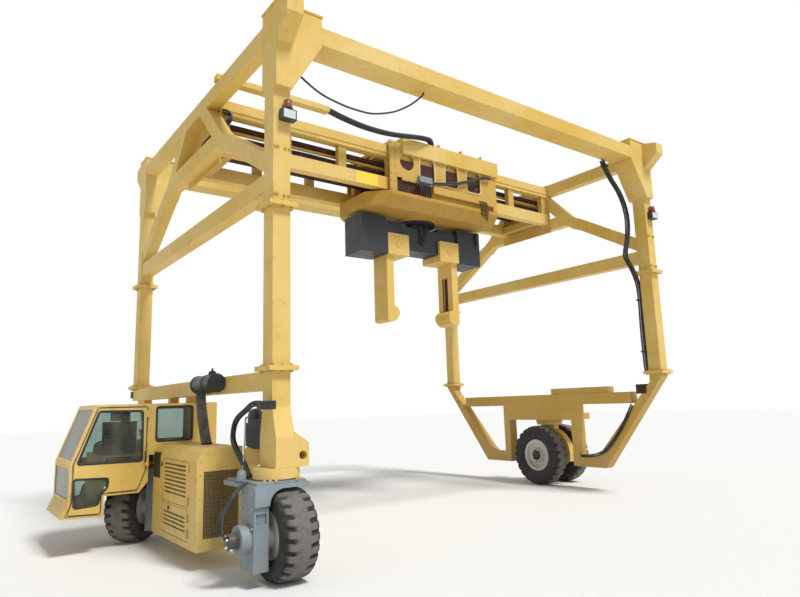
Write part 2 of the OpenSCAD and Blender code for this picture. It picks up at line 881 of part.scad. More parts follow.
// cover with its two side beams, the tie at the left end, and the pads that run on the upper chords
module trolley_cover() {
    painted(yellow) {
        block([-trolley_x, trolley_low - 26, trolley_top - 70], [trolley_x, cover_high, trolley_top]);
        for (s = [-1, 1])
            translate([s * (side_in + trolley_x) / 2, 0, 0])
                block([(side_in - trolley_x) / 2, trolley_low - 26, trolley_top - top_beam_h],
                    [(trolley_x - side_in) / 2, cover_high, trolley_top - 69]);
        block([-side_in, trolley_high - 110, chord_top + plate_gap + 5], [side_in, trolley_high - 20, trolley_top - 84]);
        for (s = [-1, 1], y = [trolley_low + 300, cover_high - 300])
            block([s * (girder_out_x - chord_x / 2) - chord_x / 2, y - 120, chord_top + plate_gap],
                [s * (girder_out_x - chord_x / 2) + chord_x / 2, y + 120, trolley_top - 69]);
    }
}

// side plates with a round hole, round-bottomed windows and two posts down to the deck
module trolley_sides() {
    top = trolley_top - top_beam_h;
    post = trolley_high - 142;
    painted(yellow)
        for (s = [-1, 1])
            translate([s * (side_in + side_plate / 2) - side_plate / 2, 0, 0]) {
                crosswise(0, side_plate)
                    difference() {
                        union() {
                            translate([post, deck_top])
                                square([142, trolley_top - 84 - deck_top]);
                            translate([cover_high, low_chord_top + 22])
                                square([post - cover_high + 1, trolley_top - 93 - low_chord_top - 22]);
                            translate([trolley_low + 96, low_chord_top - 20])
                                square([cover_high - trolley_low - 95, top - low_chord_top + 20]);
                            translate([trolley_low, deck_top])
                                square([97, top - deck_top]);
                        }
                        translate([cover_high - 110, low_chord_top + 320])
                            circle(r = 150);
                        for (w = trolley_windows) {
                            translate([cover_high - w[0] - w[1], window_sill + 80])
                                square([w[1], top - window_sill]);
                            translate([cover_high - w[0] - w[1] + 80, window_sill])
                                square([w[1] - 160, 81]);
                            for (y = [80, w[1] - 80])
                                translate([cover_high - w[0] - w[1] + y, window_sill + 80])
                                    circle(r = 80);
                        }
                    }
                translate([s < 0 ? side_plate - trolley_x + side_in : 0, 0, 0])
                    block([0, trolley_low + 96, low_chord_top - 20 - sill_beam_h],
                        [trolley_x - side_in, cover_high - 640, low_chord_top - 19]);
            }
}

// tub under the girders that carries the turntable, its corners cut at the left end
module trolley_deck() {
    low = trolley_low + 26;
    high = trolley_high + 330;
    cut = 330;
    painted(yellow) {
        intersection() {
            upright((low + high) / 2, high - low)
                polygon([[-trolley_x, deck_bottom + 180], [-trolley_x + 160, deck_bottom], [trolley_x - 160, deck_bottom],
                    [trolley_x, deck_bottom + 180], [trolley_x, deck_top], [-trolley_x, deck_top]]);
            translate([0, 0, deck_bottom - 1])
                linear_extrude(deck_top - deck_bottom + 2)
                    polygon([[-trolley_x, low], [trolley_x, low], [trolley_x, high - cut], [trolley_x - cut, high],
                        [cut - trolley_x, high], [-trolley_x, high - cut]]);
        }
        translate([0, grab_y, deck_bottom - turntable_h])
            cylinder(r = 380, h = turntable_h + 1);
    }
}

turntable_h = 40;
beam_z = deck_bottom - 370;
beam_x = 190;
beam_h = 420;
beam_wall = 20;
slew_neck = 180;
slew_disc = 360;

// turntable and the inner beam of the grab
module grab_beam() {
    top = beam_z + beam_h / 2;
    painted(black)
        translate([0, grab_y, 0]) {
            difference() {
                block([-beam_x, -grab_beam_half, beam_z - beam_h / 2], [beam_x, grab_beam_half, top]);
                block([beam_wall - beam_x, -grab_beam_half - 10, beam_z - beam_h / 2 + beam_wall],
                    [beam_x - beam_wall, grab_beam_half + 10, top - beam_wall]);
            }
            translate([0, 0, top - 1])
                cylinder(r = slew_neck, h = 90);
            translate([0, 0, top + 88])
                cylinder(r = slew_disc, h = deck_bottom - turntable_h - top - 88 - slew_gap);
        }
}

// puts a part of the grab's left half on either side of its middle
module grab_side(side) {
    translate([0, grab_y, 0])
        mirror([0, side < 0 ? 1 : 0, 0])
            children();
}

sleeve_y = end_box_y - 450;
sleeve_x = beam_x + 65;
sleeve_hole = beam_x + 10;
sleeve_low = beam_z - beam_h / 2 - 120;
arm_in = arm_reach - arm_thick / 2;

// sliding half of the grab: a collar open at the top and a hanging arm with a slot and a rounded foot
module grab_arm(side) {
    bottom = beam_z - arm_len;
    low = beam_z - beam_h / 2;
    painted(yellow)
        grab_side(side) {
            difference() {
                block([-sleeve_x, sleeve_y, sleeve_low], [sleeve_x, end_box_y, beam_z + 40]);
                block([-sleeve_hole, sleeve_y - 1, low - 10], [sleeve_hole, end_box_y + 1, beam_z + 41]);
            }
            for (y = [sleeve_y + 10, end_box_y - 70])
                block([-150, y, low - 11], [150, y + 60, low - slew_gap]);
            difference() {
                crosswise(-arm_width / 2, arm_width)
                    union() {
                        polygon([[arm_in, sleeve_low + 1], [arm_in, bottom + 170], [arm_in - 60, bottom + 40], [arm_in + 20, bottom],
                            [arm_in + arm_thick - 30, bottom], [arm_in + arm_thick, bottom + 30], [arm_in + arm_thick, sleeve_low + 1]]);
                        translate([arm_in + 10, bottom + 150])
                            circle(r = 115);
                    }
                block([-45, arm_in - 1, bottom + 260], [45, arm_in + 40, bottom + 880]);
            }
        }
}

module grab_arm_left() {
    grab_arm(1);
}

module grab_arm_right() {
    grab_arm(-1);
}

// black end box that closes the collar, with the slide plate over the beam
module grab_box(side) {
    high = beam_z + beam_h / 2;
    end = end_box_y + end_box_len;
    painted(black)
        grab_side(side)
            difference() {
                union() {
                    block([-260, end_box_y, sleeve_low - 10], [260, end, high + 100]);
                    block([-150, 400, high + 5], [150, end_box_y + 1, high + 75]);
                }
                block([-sleeve_hole, end_box_y - 1, beam_z - beam_h / 2 - 10], [sleeve_hole, end - 30, high + 5]);
                for (s = [-1, 1])
                    translate([s * (sleeve_hole + 55), 0, 0])
                        block([-30, end_box_y - 1, beam_z + 45], [30, end - 75, high + 101]);
            }
}

module grab_box_left() {
    grab_box(1);
}

module grab_box_right() {
    grab_box(-1);
}

// tube of n-sided rings along a route, flat at both ends
module swept_tube(route, r, n) {
    last = len(route) - 1;
    rings = [for (i = [0:last]) let (
        t = unit(route[min(i + 1, last)] - route[max(i - 1, 0)]),
        side = unit(cross(t, [1, 0, 0.01])),
        up = cross(side, t))
        [for (k = [0:n - 1]) route[i] + r * (cos(360 * k / n) * side + sin(360 * k / n) * up)]];
    polyhedron(points = [for (ring = rings, q = ring) q],
        faces = concat([[for (k = [0:n - 1]) n - 1 - k]], [[for (k = [0:n - 1]) last * n + k]],
            [for (i = [0:last - 1], k = [0:n - 1]) [i * n + k, i * n + (k + 1) % n, (i + 1) * n + (k + 1) % n]],
            [for (i = [0:last - 1], k = [0:n - 1]) [i * n + k, (i + 1) * n + (k + 1) % n, (i + 1) * n + k]]));
}

function blend3(a, b, c, d, t) = 0.5 * (2 * b + (c - a) * t + (2 * a - 5 * b + 4 * c - d) * t * t + (3 * b - a - 3 * c + d) * t * t * t);
function smooth_route(p, n) = let (m = len(p) - 1)
    [for (i = [0:m - 1], k = [0:n - 1]) blend3(p[max(i - 1, 0)], p[i], p[i + 1], p[min(i + 2, m)], k / n)];

hose_r = 27;
hose_pitch = 70;
hose_points = [[-rail_x, rail_end_y - 40, rail_top + 80], [-888, 1560, 5985], [-866, 1160, 5955], [-830, 656, 5985], [-800, 85, 6080],
    [-738, -190, 6132], [-690, -285, 6138], [-675, -322, 6100]];

// two thick hoses side by side from the rail to the trolley
module main_hose() {
    end = hose_points[len(hose_points) - 1];
    painted(black)
        for (s = [-0.5, 0.5])
            translate([s * hose_pitch, 0, 0])
                swept_tube(concat([[-rail_x, rail_end_y - slew_gap, rail_top + 80]], smooth_route(hose_points, 2),
                    [end, [end[0], end[1], trolley_top + slew_gap]]), hose_r, 10);
}

slung_r = 12;
slung_points = [[-2560, 3200, 5390], [-2560, 2954, 5262], [-2560, 2683, 5204], [-2560, 2456, 5189],
    [-2560, 2221, 5203], [-2560, 1974, 5280], [-2560, 1781, 5374], [-2560, 1580, 5513], [-2560, 1390, 5690]];

// thin hose slung under the rear cross beam
module slung_hose() {
    end = slung_points[len(slung_points) - 1];
    painted(black)
        swept_tube(concat([[-2560, 3200, 5427]], smooth_route(slung_points, 3),
            [end, [end[0], end[1], cross_beam_top - cross_beam_h - slew_gap]]), slung_r, 8);
}

// black valve box on the low beam beside the rear left leg
module valve_box() {
    z = side_beam_z + side_beam_h;
    painted(black) {
        block([-2420, side_frame_y - side_frame_w / 2, z], [-2170, side_frame_y + side_frame_w / 2 + 60, z + 300]);
        translate([-2290, side_frame_y + 20, z + 299])
            cylinder(r = 60, h = 70);
    }
}

leg_rear_left();
leg_front_left();
leg_front_right();
leg_rear_right();
cross_beam_rear();
cross_beam_front();
side_truss_left();
side_truss_right();
foot_rear_left();
lower_frame_left();
lower_frame_right();
bridge_chords();
bridge_posts();
bridge_ends();
hose_rail();
valve_box();
cab_shell();
cab_glass();
cab_door();
cab_door_glass();
driver_seat();
pod_body();
pod_grilles();
pod_door_upper();
pod_door_lower();
engine_block();
air_cleaner();
intake_pipe();
work_lamps();
fork_rear_left();
rim_rear_left();
tyre_rear_left();
fork_front_left();
rim_front_left();
tyre_front_left();
twin_yoke();
twin_rims();
twin_tyres();
trolley_cover();
trolley_sides();
trolley_deck();
grab_beam();
grab_arm_left();
grab_arm_right();
grab_box_left();
grab_box_right();
main_hose();
slung_hose();
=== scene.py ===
"""Finishes, fittings and camera for a straddle carrier that is loaded as a fixed frame.

Axes are the frame's own: X forward, Y towards the cab, Z up. Surfaces are worked out in metres. Each class
keeps its places in millimetres from the ground midway between the four legs, and turned profiles in metres.
"""

import json
import logging
import math
from dataclasses import dataclass
from enum import Enum
from typing import Sequence

import bmesh
import bpy
import numpy as np
from mathutils import Matrix, Vector


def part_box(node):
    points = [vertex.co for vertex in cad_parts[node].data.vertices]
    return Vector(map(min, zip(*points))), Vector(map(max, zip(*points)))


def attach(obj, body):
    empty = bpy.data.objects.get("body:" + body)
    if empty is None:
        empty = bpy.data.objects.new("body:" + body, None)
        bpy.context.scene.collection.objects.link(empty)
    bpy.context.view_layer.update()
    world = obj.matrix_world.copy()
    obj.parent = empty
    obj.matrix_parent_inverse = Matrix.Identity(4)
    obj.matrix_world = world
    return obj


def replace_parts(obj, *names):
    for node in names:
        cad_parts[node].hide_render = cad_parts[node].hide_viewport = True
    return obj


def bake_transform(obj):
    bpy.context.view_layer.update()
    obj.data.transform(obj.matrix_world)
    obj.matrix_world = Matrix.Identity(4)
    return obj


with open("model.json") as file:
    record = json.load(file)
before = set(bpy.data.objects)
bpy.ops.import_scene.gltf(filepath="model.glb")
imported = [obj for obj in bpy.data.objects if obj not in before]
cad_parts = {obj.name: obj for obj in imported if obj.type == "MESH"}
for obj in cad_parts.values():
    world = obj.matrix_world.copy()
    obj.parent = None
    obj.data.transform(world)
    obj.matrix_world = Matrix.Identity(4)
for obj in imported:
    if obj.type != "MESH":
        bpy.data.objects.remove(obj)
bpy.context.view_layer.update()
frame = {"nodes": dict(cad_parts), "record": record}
LOG = logging.getLogger("carrier")
MM = 0.001
MERGE = 1e-6

# Types

Array = np.ndarray
Piece = bpy.types.Object
Tree = bpy.types.NodeTree
Socket = bpy.types.NodeSocket
Colour = tuple[float, float, float, float]
Spot = tuple[float, float, float]
Span = tuple[float, float, float, float, float, float]
Profile = tuple[tuple[float, float], ...]
Route = Sequence[Sequence[float]]


def leg_middle() -> Array:
    """Finds the point on the ground midway between the four legs, as the frame places them.

    Returns:
        The point in metres.
    """
    low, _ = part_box("leg_rear_right")
    _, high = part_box("leg_front_left")
    return np.array([(low[0] + high[0]) / 2, (low[1] + high[1]) / 2, 0.0])


MIDDLE = leg_middle()


def at(x: float, y: float, z: float) -> Array:
    """Returns a point given in millimetres from the legs' middle, in the frame's metres."""
    return np.array([x, y, z]) * MM + MIDDLE


def places(points: Route | Array) -> Array:
    """Returns points given in millimetres from the legs' middle, in the frame's metres."""
    return np.asarray(points, dtype=float) * MM + MIDDLE


# Surfaces


class Shade(Enum):
    """The angle in degrees above which an edge stays sharp."""

    SOFT = 60.0
    CRISP = 25.0


def make_object(name: str, points: Array, faces: list, shade: Shade = Shade.CRISP) -> Piece:
    """Makes a mesh object at the origin.

    Args:
        name: the piece's name.
        points: (n, 3) places in metres.
        faces: lists of point numbers.
        shade: the angle above which an edge stays sharp.

    Returns:
        The new object, linked to the scene.
    """
    mesh = bpy.data.meshes.new(name)
    mesh.from_pydata(np.asarray(points, dtype=float).tolist(), [], faces)
    mesh.validate()
    mesh.polygons.foreach_set("use_smooth", np.ones(len(mesh.polygons), dtype=bool))
    mesh.set_sharp_from_angle(angle=math.radians(shade.value))
    obj = bpy.data.objects.new(name, mesh)
    bpy.context.scene.collection.objects.link(obj)
    return obj


def grid_faces(rows: int, cols: int, wrap_rows: bool, wrap_cols: bool) -> list:
    """Numbers the quads of a grid of rows by cols points: (i, j), (i+1, j), (i+1, j+1), (i, j+1).

    Args:
        rows: points along the first parameter.
        cols: points along the second parameter.
        wrap_rows: joins the last row to the first.
        wrap_cols: joins the last column to the first.

    Returns:
        A list of quads.
    """
    down = np.arange(rows if wrap_rows else rows - 1)
    along = np.arange(cols if wrap_cols else cols - 1)
    i, j = np.meshgrid(down, along, indexing="ij")
    i2, j2 = (i + 1) % rows, (j + 1) % cols
    quads = np.stack([i * cols + j, i2 * cols + j, i2 * cols + j2, i * cols + j2], axis=-1)
    return quads.reshape(-1, 4).tolist()


def axis_frame(axis: Sequence[float]) -> Array:
    """Builds a square set of axes round one direction.

    Args:
        axis: the direction, of any length.

    Returns:
        A 3 by 3 array whose rows are two cross directions and the unit axis.
    """
    w = np.array(axis, dtype=float)
    w /= np.linalg.norm(w)
    help_axis = np.array([0.0, 0.0, 1.0]) if abs(w[2]) < 0.9 else np.array([1.0, 0.0, 0.0])
    u = np.cross(help_axis, w)
    u /= np.linalg.norm(u)
    return np.array([u, np.cross(w, u), w])


def lathe(name: str, profile: Route, centre: Array, axis: Sequence[float], steps: int = 48,
          shade: Shade = Shade.CRISP) -> Piece:
    """Turns a closed profile round an axis: p = centre + r cos(t) u + r sin(t) v + h w.

    Args:
        name: the piece's name.
        profile: (radius, height along the axis) pairs of a closed outline.
        centre: the axis's zero point.
        axis: the axis's direction.
        steps: points round the axis.
        shade: how edges are shaded.

    Returns:
        The turned object.
    """
    u, v, w = axis_frame(axis)
    outline = np.array(profile, dtype=float)
    turn = np.linspace(0, 2 * math.pi, steps, endpoint=False)
    ring = np.cos(turn)[:, None] * u + np.sin(turn)[:, None] * v
    points = centre + ring[:, None, :] * outline[None, :, :1] + outline[None, :, 1:] * w
    obj = make_object(name, points.reshape(-1, 3), grid_faces(steps, len(outline), True, True), shade)
    return outward(obj)


def outward(obj: Piece) -> Piece:
    """Merges doubled points and turns every face outwards.

    Args:
        obj: a piece whose shells are closed.

    Returns:
        The same piece.
    """
    shell = bmesh.new()
    shell.from_mesh(obj.data)
    bmesh.ops.remove_doubles(shell, verts=shell.verts, dist=MERGE)
    bmesh.ops.recalc_face_normals(shell, faces=shell.faces)
    shell.to_mesh(obj.data)
    shell.free()
    return obj


def rounded_route(points: Sequence[Array], stations: int) -> Array:
    """Passes a smooth curve through the points: a Catmull-Rom spline sampled evenly in its parameter.

    Args:
        points: route points.
        stations: samples along the whole route.

    Returns:
        (stations, 3) places.
    """
    p = np.array(points, dtype=float)
    p = np.vstack([2 * p[0] - p[1], p, 2 * p[-1] - p[-2]])
    t = np.linspace(0, len(p) - 3 - 1e-9, stations)
    k = t.astype(int)
    f = (t - k)[:, None]
    a, b, c, d = p[k], p[k + 1], p[k + 2], p[k + 3]
    return 0.5 * (2 * b + (c - a) * f + (2 * a - 5 * b + 4 * c - d) * f**2 + (3 * b - a - 3 * c + d) * f**3)


def sweep_points(path: Array, radius: Array, sides: int) -> Array:
    """Carries a circle along a path: p = path + r (cos(t) n + sin(t) b), with n turned as little as possible.

    Args:
        path: (m, 3) places.
        radius: (m,) radii.
        sides: points round the circle.

    Returns:
        (m, sides, 3) places.
    """
    tangent = np.gradient(path, axis=0)
    tangent /= np.linalg.norm(tangent, axis=1, keepdims=True)
    normal = np.zeros_like(path)
    normal[0] = axis_frame(tangent[0])[0]
    for k in range(1, len(path)):
        n = normal[k - 1] - tangent[k] * np.dot(normal[k - 1], tangent[k])
        normal[k] = n / np.linalg.norm(n)
    side = np.cross(tangent, normal)
    turn = np.linspace(0, 2 * math.pi, sides, endpoint=False)
    ring = np.cos(turn)[None, :, None] * normal[:, None, :] + np.sin(turn)[None, :, None] * side[:, None, :]
    return path[:, None, :] + ring * np.asarray(radius, dtype=float).reshape(-1, 1, 1)


def tube(name: str, path: Array, radius: float | Array, sides: int = 12) -> Piece:
    """Sweeps a round tube along a path and closes both ends.

    Args:
        name: the piece's name.
        path: (m, 3) places.
        radius: one radius, or one for each place.
        sides: points round the tube.

    Returns:
        The tube.
    """
    points = sweep_points(path, np.broadcast_to(radius, (len(path),)), sides)
    faces = grid_faces(len(path), sides, False, True)
    faces += [list(range(sides)), [len(path) * sides - 1 - k for k in range(sides)]]
    return outward(make_object(name, points.reshape(-1, 3), faces, Shade.SOFT))


def studs(name: str, centres: Array, axis: Spot, radius: float, height: float, sides: int = 6) -> Piece:
    """Makes many bolt heads as one mesh: prisms with a bevelled top, standing along the axis.

    Args:
        name: the piece's name.
        centres: (n, 3) seats of the heads.
        axis: the direction in which they stand.
        radius: corner radius of a head.
        height: height of a head.
        sides: 6 for a hexagon, more for a round head.

    Returns:
        The bolt heads.
    """
    count = len(centres)
    turn = np.linspace(0, 2 * math.pi, sides, endpoint=False)
    circle = np.stack([np.cos(turn), np.sin(turn)], axis=1)
    levels = [(1.0, 0.0), (1.0, height * 0.8), (0.82, height)]
    head = np.vstack([np.hstack([circle * radius * r, np.full((sides, 1), h)]) for r, h in levels])
    points = centres[:, None, :] + np.einsum("kc,cd->kd", head, axis_frame(axis))
    each = len(head)
    quads = np.array(grid_faces(len(levels), sides, False, True))
    faces = (quads[None] + each * np.arange(count)[:, None, None]).reshape(-1, 4).tolist()
    faces += [[each * n + 2 * sides + k for k in range(sides)] for n in range(count)]
    faces += [[each * n + sides - 1 - k for k in range(sides)] for n in range(count)]
    return outward(make_object(name, points.reshape(-1, 3), faces))


CUBE = np.array([[x, y, z] for x in (-1, 1) for y in (-1, 1) for z in (-1, 1)], dtype=float)
CUBE_FACES = np.array([[0, 1, 3, 2], [4, 6, 7, 5], [0, 4, 5, 1], [2, 3, 7, 6], [0, 2, 6, 4], [1, 5, 7, 3]])


def slabs(name: str, spans: Sequence[Span], bevel: float = 0.003) -> Piece:
    """Makes upright blocks as one mesh: p = centre + cube corner * half size.

    Args:
        name: the piece's name.
        spans: two opposite corners (x0, y0, z0, x1, y1, z1) in millimetres from the legs' middle.
        bevel: width of the rounded edges in metres.

    Returns:
        The blocks.
    """
    span = np.asarray(spans, dtype=float).reshape(-1, 2, 3)
    centres = places(span.mean(axis=1))
    halves = np.abs(span[:, 1] - span[:, 0]) / 2 * MM
    points = centres[:, None, :] + CUBE[None] * halves[:, None, :]
    faces = (CUBE_FACES[None] + len(CUBE) * np.arange(len(span))[:, None, None]).reshape(-1, 4).tolist()
    obj = outward(make_object(name, points.reshape(-1, 3), faces))
    if bevel:
        soft = obj.modifiers.new("edges", "BEVEL")
        soft.width = bevel
        soft.segments = 2
    return obj


def pipes(name: str, routes: Sequence[Route], radius: float, stations: int = 36, sides: int = 10) -> Piece:
    """Makes hoses or pipes that are held at both ends as one mesh, each closed at its ends.

    Args:
        name: the piece's name.
        routes: for each pipe its points in millimetres from the legs' middle.
        radius: the pipes' radius in millimetres.
        stations: rings along a pipe.
        sides: points round a pipe.

    Returns:
        The pipes.
    """
    points, faces = [], []
    for count, route in enumerate(routes):
        base = count * stations * sides
        path = rounded_route(places(route), stations)
        points.append(sweep_points(path, np.full(stations, radius * MM), sides).reshape(-1, 3))
        faces += (np.array(grid_faces(stations, sides, False, True)) + base).tolist()
        faces += [[base + k for k in range(sides)], [base + stations * sides - 1 - k for k in range(sides)]]
    return outward(make_object(name, np.vstack(points), faces, Shade.SOFT))


def beside(route: Route, shifts: Route) -> list:
    """Returns one copy of a route for each shift in millimetres."""
    return [(np.asarray(route, dtype=float) + np.asarray(shift, dtype=float)).tolist() for shift in shifts]


def outline_band(name: str, corners: Route, facing: Spot, width: float, height: float, reach: float) -> Piece:
    """Lays a rounded rubber strip along a closed outline with rounded corners.

    Each corner becomes a quadratic curve from one side to the next. An ellipse is carried along the outline,
    with its long axis across the strip and its short one along the facing direction.

    Args:
        name: the piece's name.
        corners: corners in millimetres from the legs' middle.
        facing: the direction that the strip stands out in.
        width: the strip's width in millimetres.
        height: how far it stands out in millimetres.
        reach: how far from a corner its rounding starts, in millimetres.

    Returns:
        The strip.
    """
    ring = np.asarray(corners, dtype=float)
    before = np.roll(ring, 1, axis=0) - ring
    after = np.roll(ring, -1, axis=0) - ring
    before /= np.linalg.norm(before, axis=1, keepdims=True)
    after /= np.linalg.norm(after, axis=1, keepdims=True)
    t = np.linspace(0, 1, 9)[None, :, None]
    start, end = (ring + before * reach)[:, None], (ring + after * reach)[:, None]
    path = ((1 - t) ** 2 * start + 2 * t * (1 - t) * ring[:, None] + t**2 * end).reshape(-1, 3)
    tangent = np.roll(path, -1, axis=0) - np.roll(path, 1, axis=0)
    tangent /= np.linalg.norm(tangent, axis=1, keepdims=True)
    out = np.asarray(facing, dtype=float)
    out /= np.linalg.norm(out)
    across = np.cross(tangent, out)
    sides = 10
    angle = np.linspace(0, 2 * math.pi, sides, endpoint=False)
    section = np.stack([np.cos(angle) * width / 2, np.sin(angle) * height], axis=1)
    points = path[:, None] + across[:, None] * section[None, :, :1] + out * section[None, :, 1:]
    faces = grid_faces(len(path), sides, True, True)
    return outward(make_object(name, places(points.reshape(-1, 3)), faces, Shade.SOFT))


# Finishes


def linear(hex_colour: str) -> Colour:
    """Turns an sRGB hex colour into a linear one: c / 12.92 where dark, else ((c + 0.055) / 1.055) ** 2.4.

    Args:
        hex_colour: a hash and six hex digits.

    Returns:
        Red, green, blue and 1.
    """
    value = np.array([int(hex_colour[k : k + 2], 16) / 255 for k in (1, 3, 5)])
    value = np.where(value <= 0.04045, value / 12.92, ((value + 0.055) / 1.055) ** 2.4)
    return (*value.tolist(), 1.0)


def node(tree: Tree, kind: str, inputs: dict | None = None, **settings: object) -> bpy.types.Node:
    """Adds a shader node, sets it up and links it.

    Args:
        tree: the material's node tree.
        kind: the node's type without its ShaderNode prefix.
        inputs: a value or an output socket for each input, by name or number.
        **settings: the node's own properties.

    Returns:
        The new node.
    """
    new = tree.nodes.new("ShaderNode" + kind)
    for key, value in settings.items():
        setattr(new, key, value)
    for key, value in (inputs or {}).items():
        if isinstance(value, Socket):
            tree.links.new(value, new.inputs[key])
        else:
            new.inputs[key].default_value = value
    return new


def blank_material(name: str) -> tuple[bpy.types.Material, Tree, bpy.types.Node]:
    """Starts a material.

    Args:
        name: the material's name.

    Returns:
        The material, its emptied tree and its output node.
    """
    material = bpy.data.materials.new(name)
    material.use_nodes = True
    material.node_tree.nodes.clear()
    return material, material.node_tree, node(material.node_tree, "OutputMaterial")


def band(tree: Tree, value: Socket, low: float, high: float, top: float = 1.0) -> Socket:
    """Returns a mask that rises from 0 at low to top at high."""
    ends = {"From Min": low, "From Max": high, "To Min": 0.0, "To Max": top}
    return node(tree, "MapRange", {"Value": value, **ends}).outputs[0]


def blend_colour(tree: Tree, mask: Socket, under: Socket | Colour, over: Socket | Colour) -> Socket:
    """Returns under with over laid on it where the mask is 1."""
    return node(tree, "Mix", {"Factor": mask, 6: under, 7: over}, data_type="RGBA").outputs[2]


def times(tree: Tree, first: Socket, second: Socket | float, operation: str = "MULTIPLY") -> Socket:
    """Returns the product, or another combination, of two numbers, kept between 0 and 1."""
    return node(tree, "Math", {0: first, 1: second}, operation=operation, use_clamp=True).outputs[0]


def noise(tree: Tree, place: Socket, per_metre: float, detail: float, stretch: Spot = (1, 1, 1)) -> Socket:
    """Adds a cloudy pattern from 0 to 1.

    Args:
        tree: the material's node tree.
        place: the Object coordinates.
        per_metre: spots to the metre.
        detail: layers of finer spots.
        stretch: the pattern's scale along each axis.

    Returns:
        The pattern.
    """
    where = node(tree, "Mapping", {"Vector": place, "Scale": stretch}).outputs[0]
    sizes = {"Scale": per_metre, "Detail": detail, "Roughness": 0.6}
    return node(tree, "TexNoise", {"Vector": where, **sizes}).outputs[0]


@dataclass(frozen=True)
class SprayedEnamel:
    """Steel sprayed with enamel and left outdoors: chalky, with dirt runs, rusty edges and dust on top.

    Fading lies in patches over a metre wide, dirt in spots as wide as a hand, and runs are 42 mm apart. The
    spray's pebble grain is drawn 17 mm wide, coarser than the real one, so that it shows.
    """

    name: str
    fresh: str
    chalky: str
    dirt: str = "#6a5636"
    rust: str = "#5c3420"
    roughness: float = 0.5
    chips: float = 0.5
    runs: float = 0.5
    dust: float = 0.3
    patches_per_metre: float = 0.8
    spots_per_metre: float = 9.0
    runs_per_metre: float = 24.0
    pebbles_per_metre: float = 60.0
    chipped_edge: float = 0.006

    def build(self) -> bpy.types.Material:
        """Mixes the finish.

        Returns:
            The material.
        """
        material, tree, out = blank_material(self.name)
        place = node(tree, "TexCoord").outputs["Object"]
        normal = node(tree, "NewGeometry").outputs["Normal"]
        cloud = noise(tree, place, self.patches_per_metre, 5)
        mottle = noise(tree, place, self.spots_per_metre, 5)
        grain = noise(tree, place, self.pebbles_per_metre, 3)
        run = noise(tree, place, self.runs_per_metre, 3, (1, 1, 0.09))
        patchy = band(tree, noise(tree, place, 1.7, 3), 0.45, 0.7)
        up = node(tree, "SeparateXYZ", {"Vector": normal}).outputs[2]
        height = node(tree, "SeparateXYZ", {"Vector": place}).outputs[2]
        # rounded normal against true normal: they differ only close to an edge, where paint chips first
        soft = node(tree, "Bevel", {"Radius": self.chipped_edge}, samples=4).outputs[0]
        along = node(tree, "VectorMath", {0: soft, 1: normal}, operation="DOT_PRODUCT").outputs["Value"]
        edge = band(tree, along, 0.995, 0.9)
        colour = blend_colour(tree, band(tree, cloud, 0.35, 0.65), linear(self.fresh), linear(self.chalky))
        colour = blend_colour(tree, band(tree, mottle, 0.56, 0.85, 0.14), colour, linear(self.dirt))
        streak = times(tree, times(tree, band(tree, run, 0.6, 0.8), patchy), self.runs)
        colour = blend_colour(tree, streak, colour, linear(self.dirt))
        colour = blend_colour(tree, band(tree, height, 0.9, 0.1, self.dust), colour, linear("#8d8472"))
        settled = times(tree, band(tree, up, 0.6, 0.95), self.dust)
        colour = blend_colour(tree, settled, colour, linear("#9c8d6c"))
        chip = times(tree, times(tree, edge, band(tree, mottle, 0.5, 0.62)), self.chips)
        spots = times(tree, band(tree, times(tree, mottle, grain), 0.4, 0.46), self.chips)
        flaw = times(tree, chip, spots, "ADD")
        colour = blend_colour(tree, flaw, colour, linear(self.rust))
        dull = times(tree, flaw, mottle, "ADD")
        ends = {"To Min": self.roughness - 0.1, "To Max": self.roughness + 0.35}
        rough = node(tree, "MapRange", {"Value": dull, **ends}).outputs[0]
        level = times(tree, grain, times(tree, flaw, 0.6), "SUBTRACT")
        bump = node(tree, "Bump", {"Height": level, "Strength": 0.25, "Distance": 0.0012}).outputs[0]
        surface = {"Base Color": colour, "Roughness": rough, "Normal": bump}
        lacquer = {"IOR": 1.5, "Coat Weight": 0.08, "Coat Roughness": 0.3}
        shader = node(tree, "BsdfPrincipled", {**surface, **lacquer})
        tree.links.new(shader.outputs[0], out.inputs[0])
        return material


@dataclass(frozen=True)
class WornRubber:
    """Vulcanised rubber: near black where it is clean, grey with ground dust where it rolls or lies.

    The dust lies in patches 71 mm wide. Its grit is drawn 6 mm wide, coarser than real, to make it show.
    """

    name: str
    clean: str = "#1d1d1d"
    dusty: str = "#8b8a85"
    worn: str = "#807e79"
    dust: float = 0.5
    roughness: float = 0.85
    patches_per_metre: float = 14.0
    grit_per_metre: float = 160.0

    def build(self) -> bpy.types.Material:
        """Mixes the finish; a point attribute called tread brightens it where it is 1.

        Returns:
            The material.
        """
        material, tree, out = blank_material(self.name)
        place = node(tree, "TexCoord").outputs["Object"]
        tread = node(tree, "Attribute", attribute_name="tread").outputs["Fac"]
        cloud = noise(tree, place, self.patches_per_metre, 5)
        grit = noise(tree, place, self.grit_per_metre, 3)
        lying = band(tree, times(tree, cloud, times(tree, grit, 0.4), "ADD"), 0.45, 0.95, self.dust)
        worn = times(tree, tread, band(tree, cloud, 0.0, 0.5))
        colour = blend_colour(tree, lying, linear(self.clean), linear(self.dusty))
        colour = blend_colour(tree, worn, colour, linear(self.worn))
        bump = node(tree, "Bump", {"Height": grit, "Strength": 0.4, "Distance": 0.0015}).outputs[0]
        surface = {"Base Color": colour, "Roughness": self.roughness, "Normal": bump, "IOR": 1.52}
        shader = node(tree, "BsdfPrincipled", surface)
        tree.links.new(shader.outputs[0], out.inputs[0])
        return material


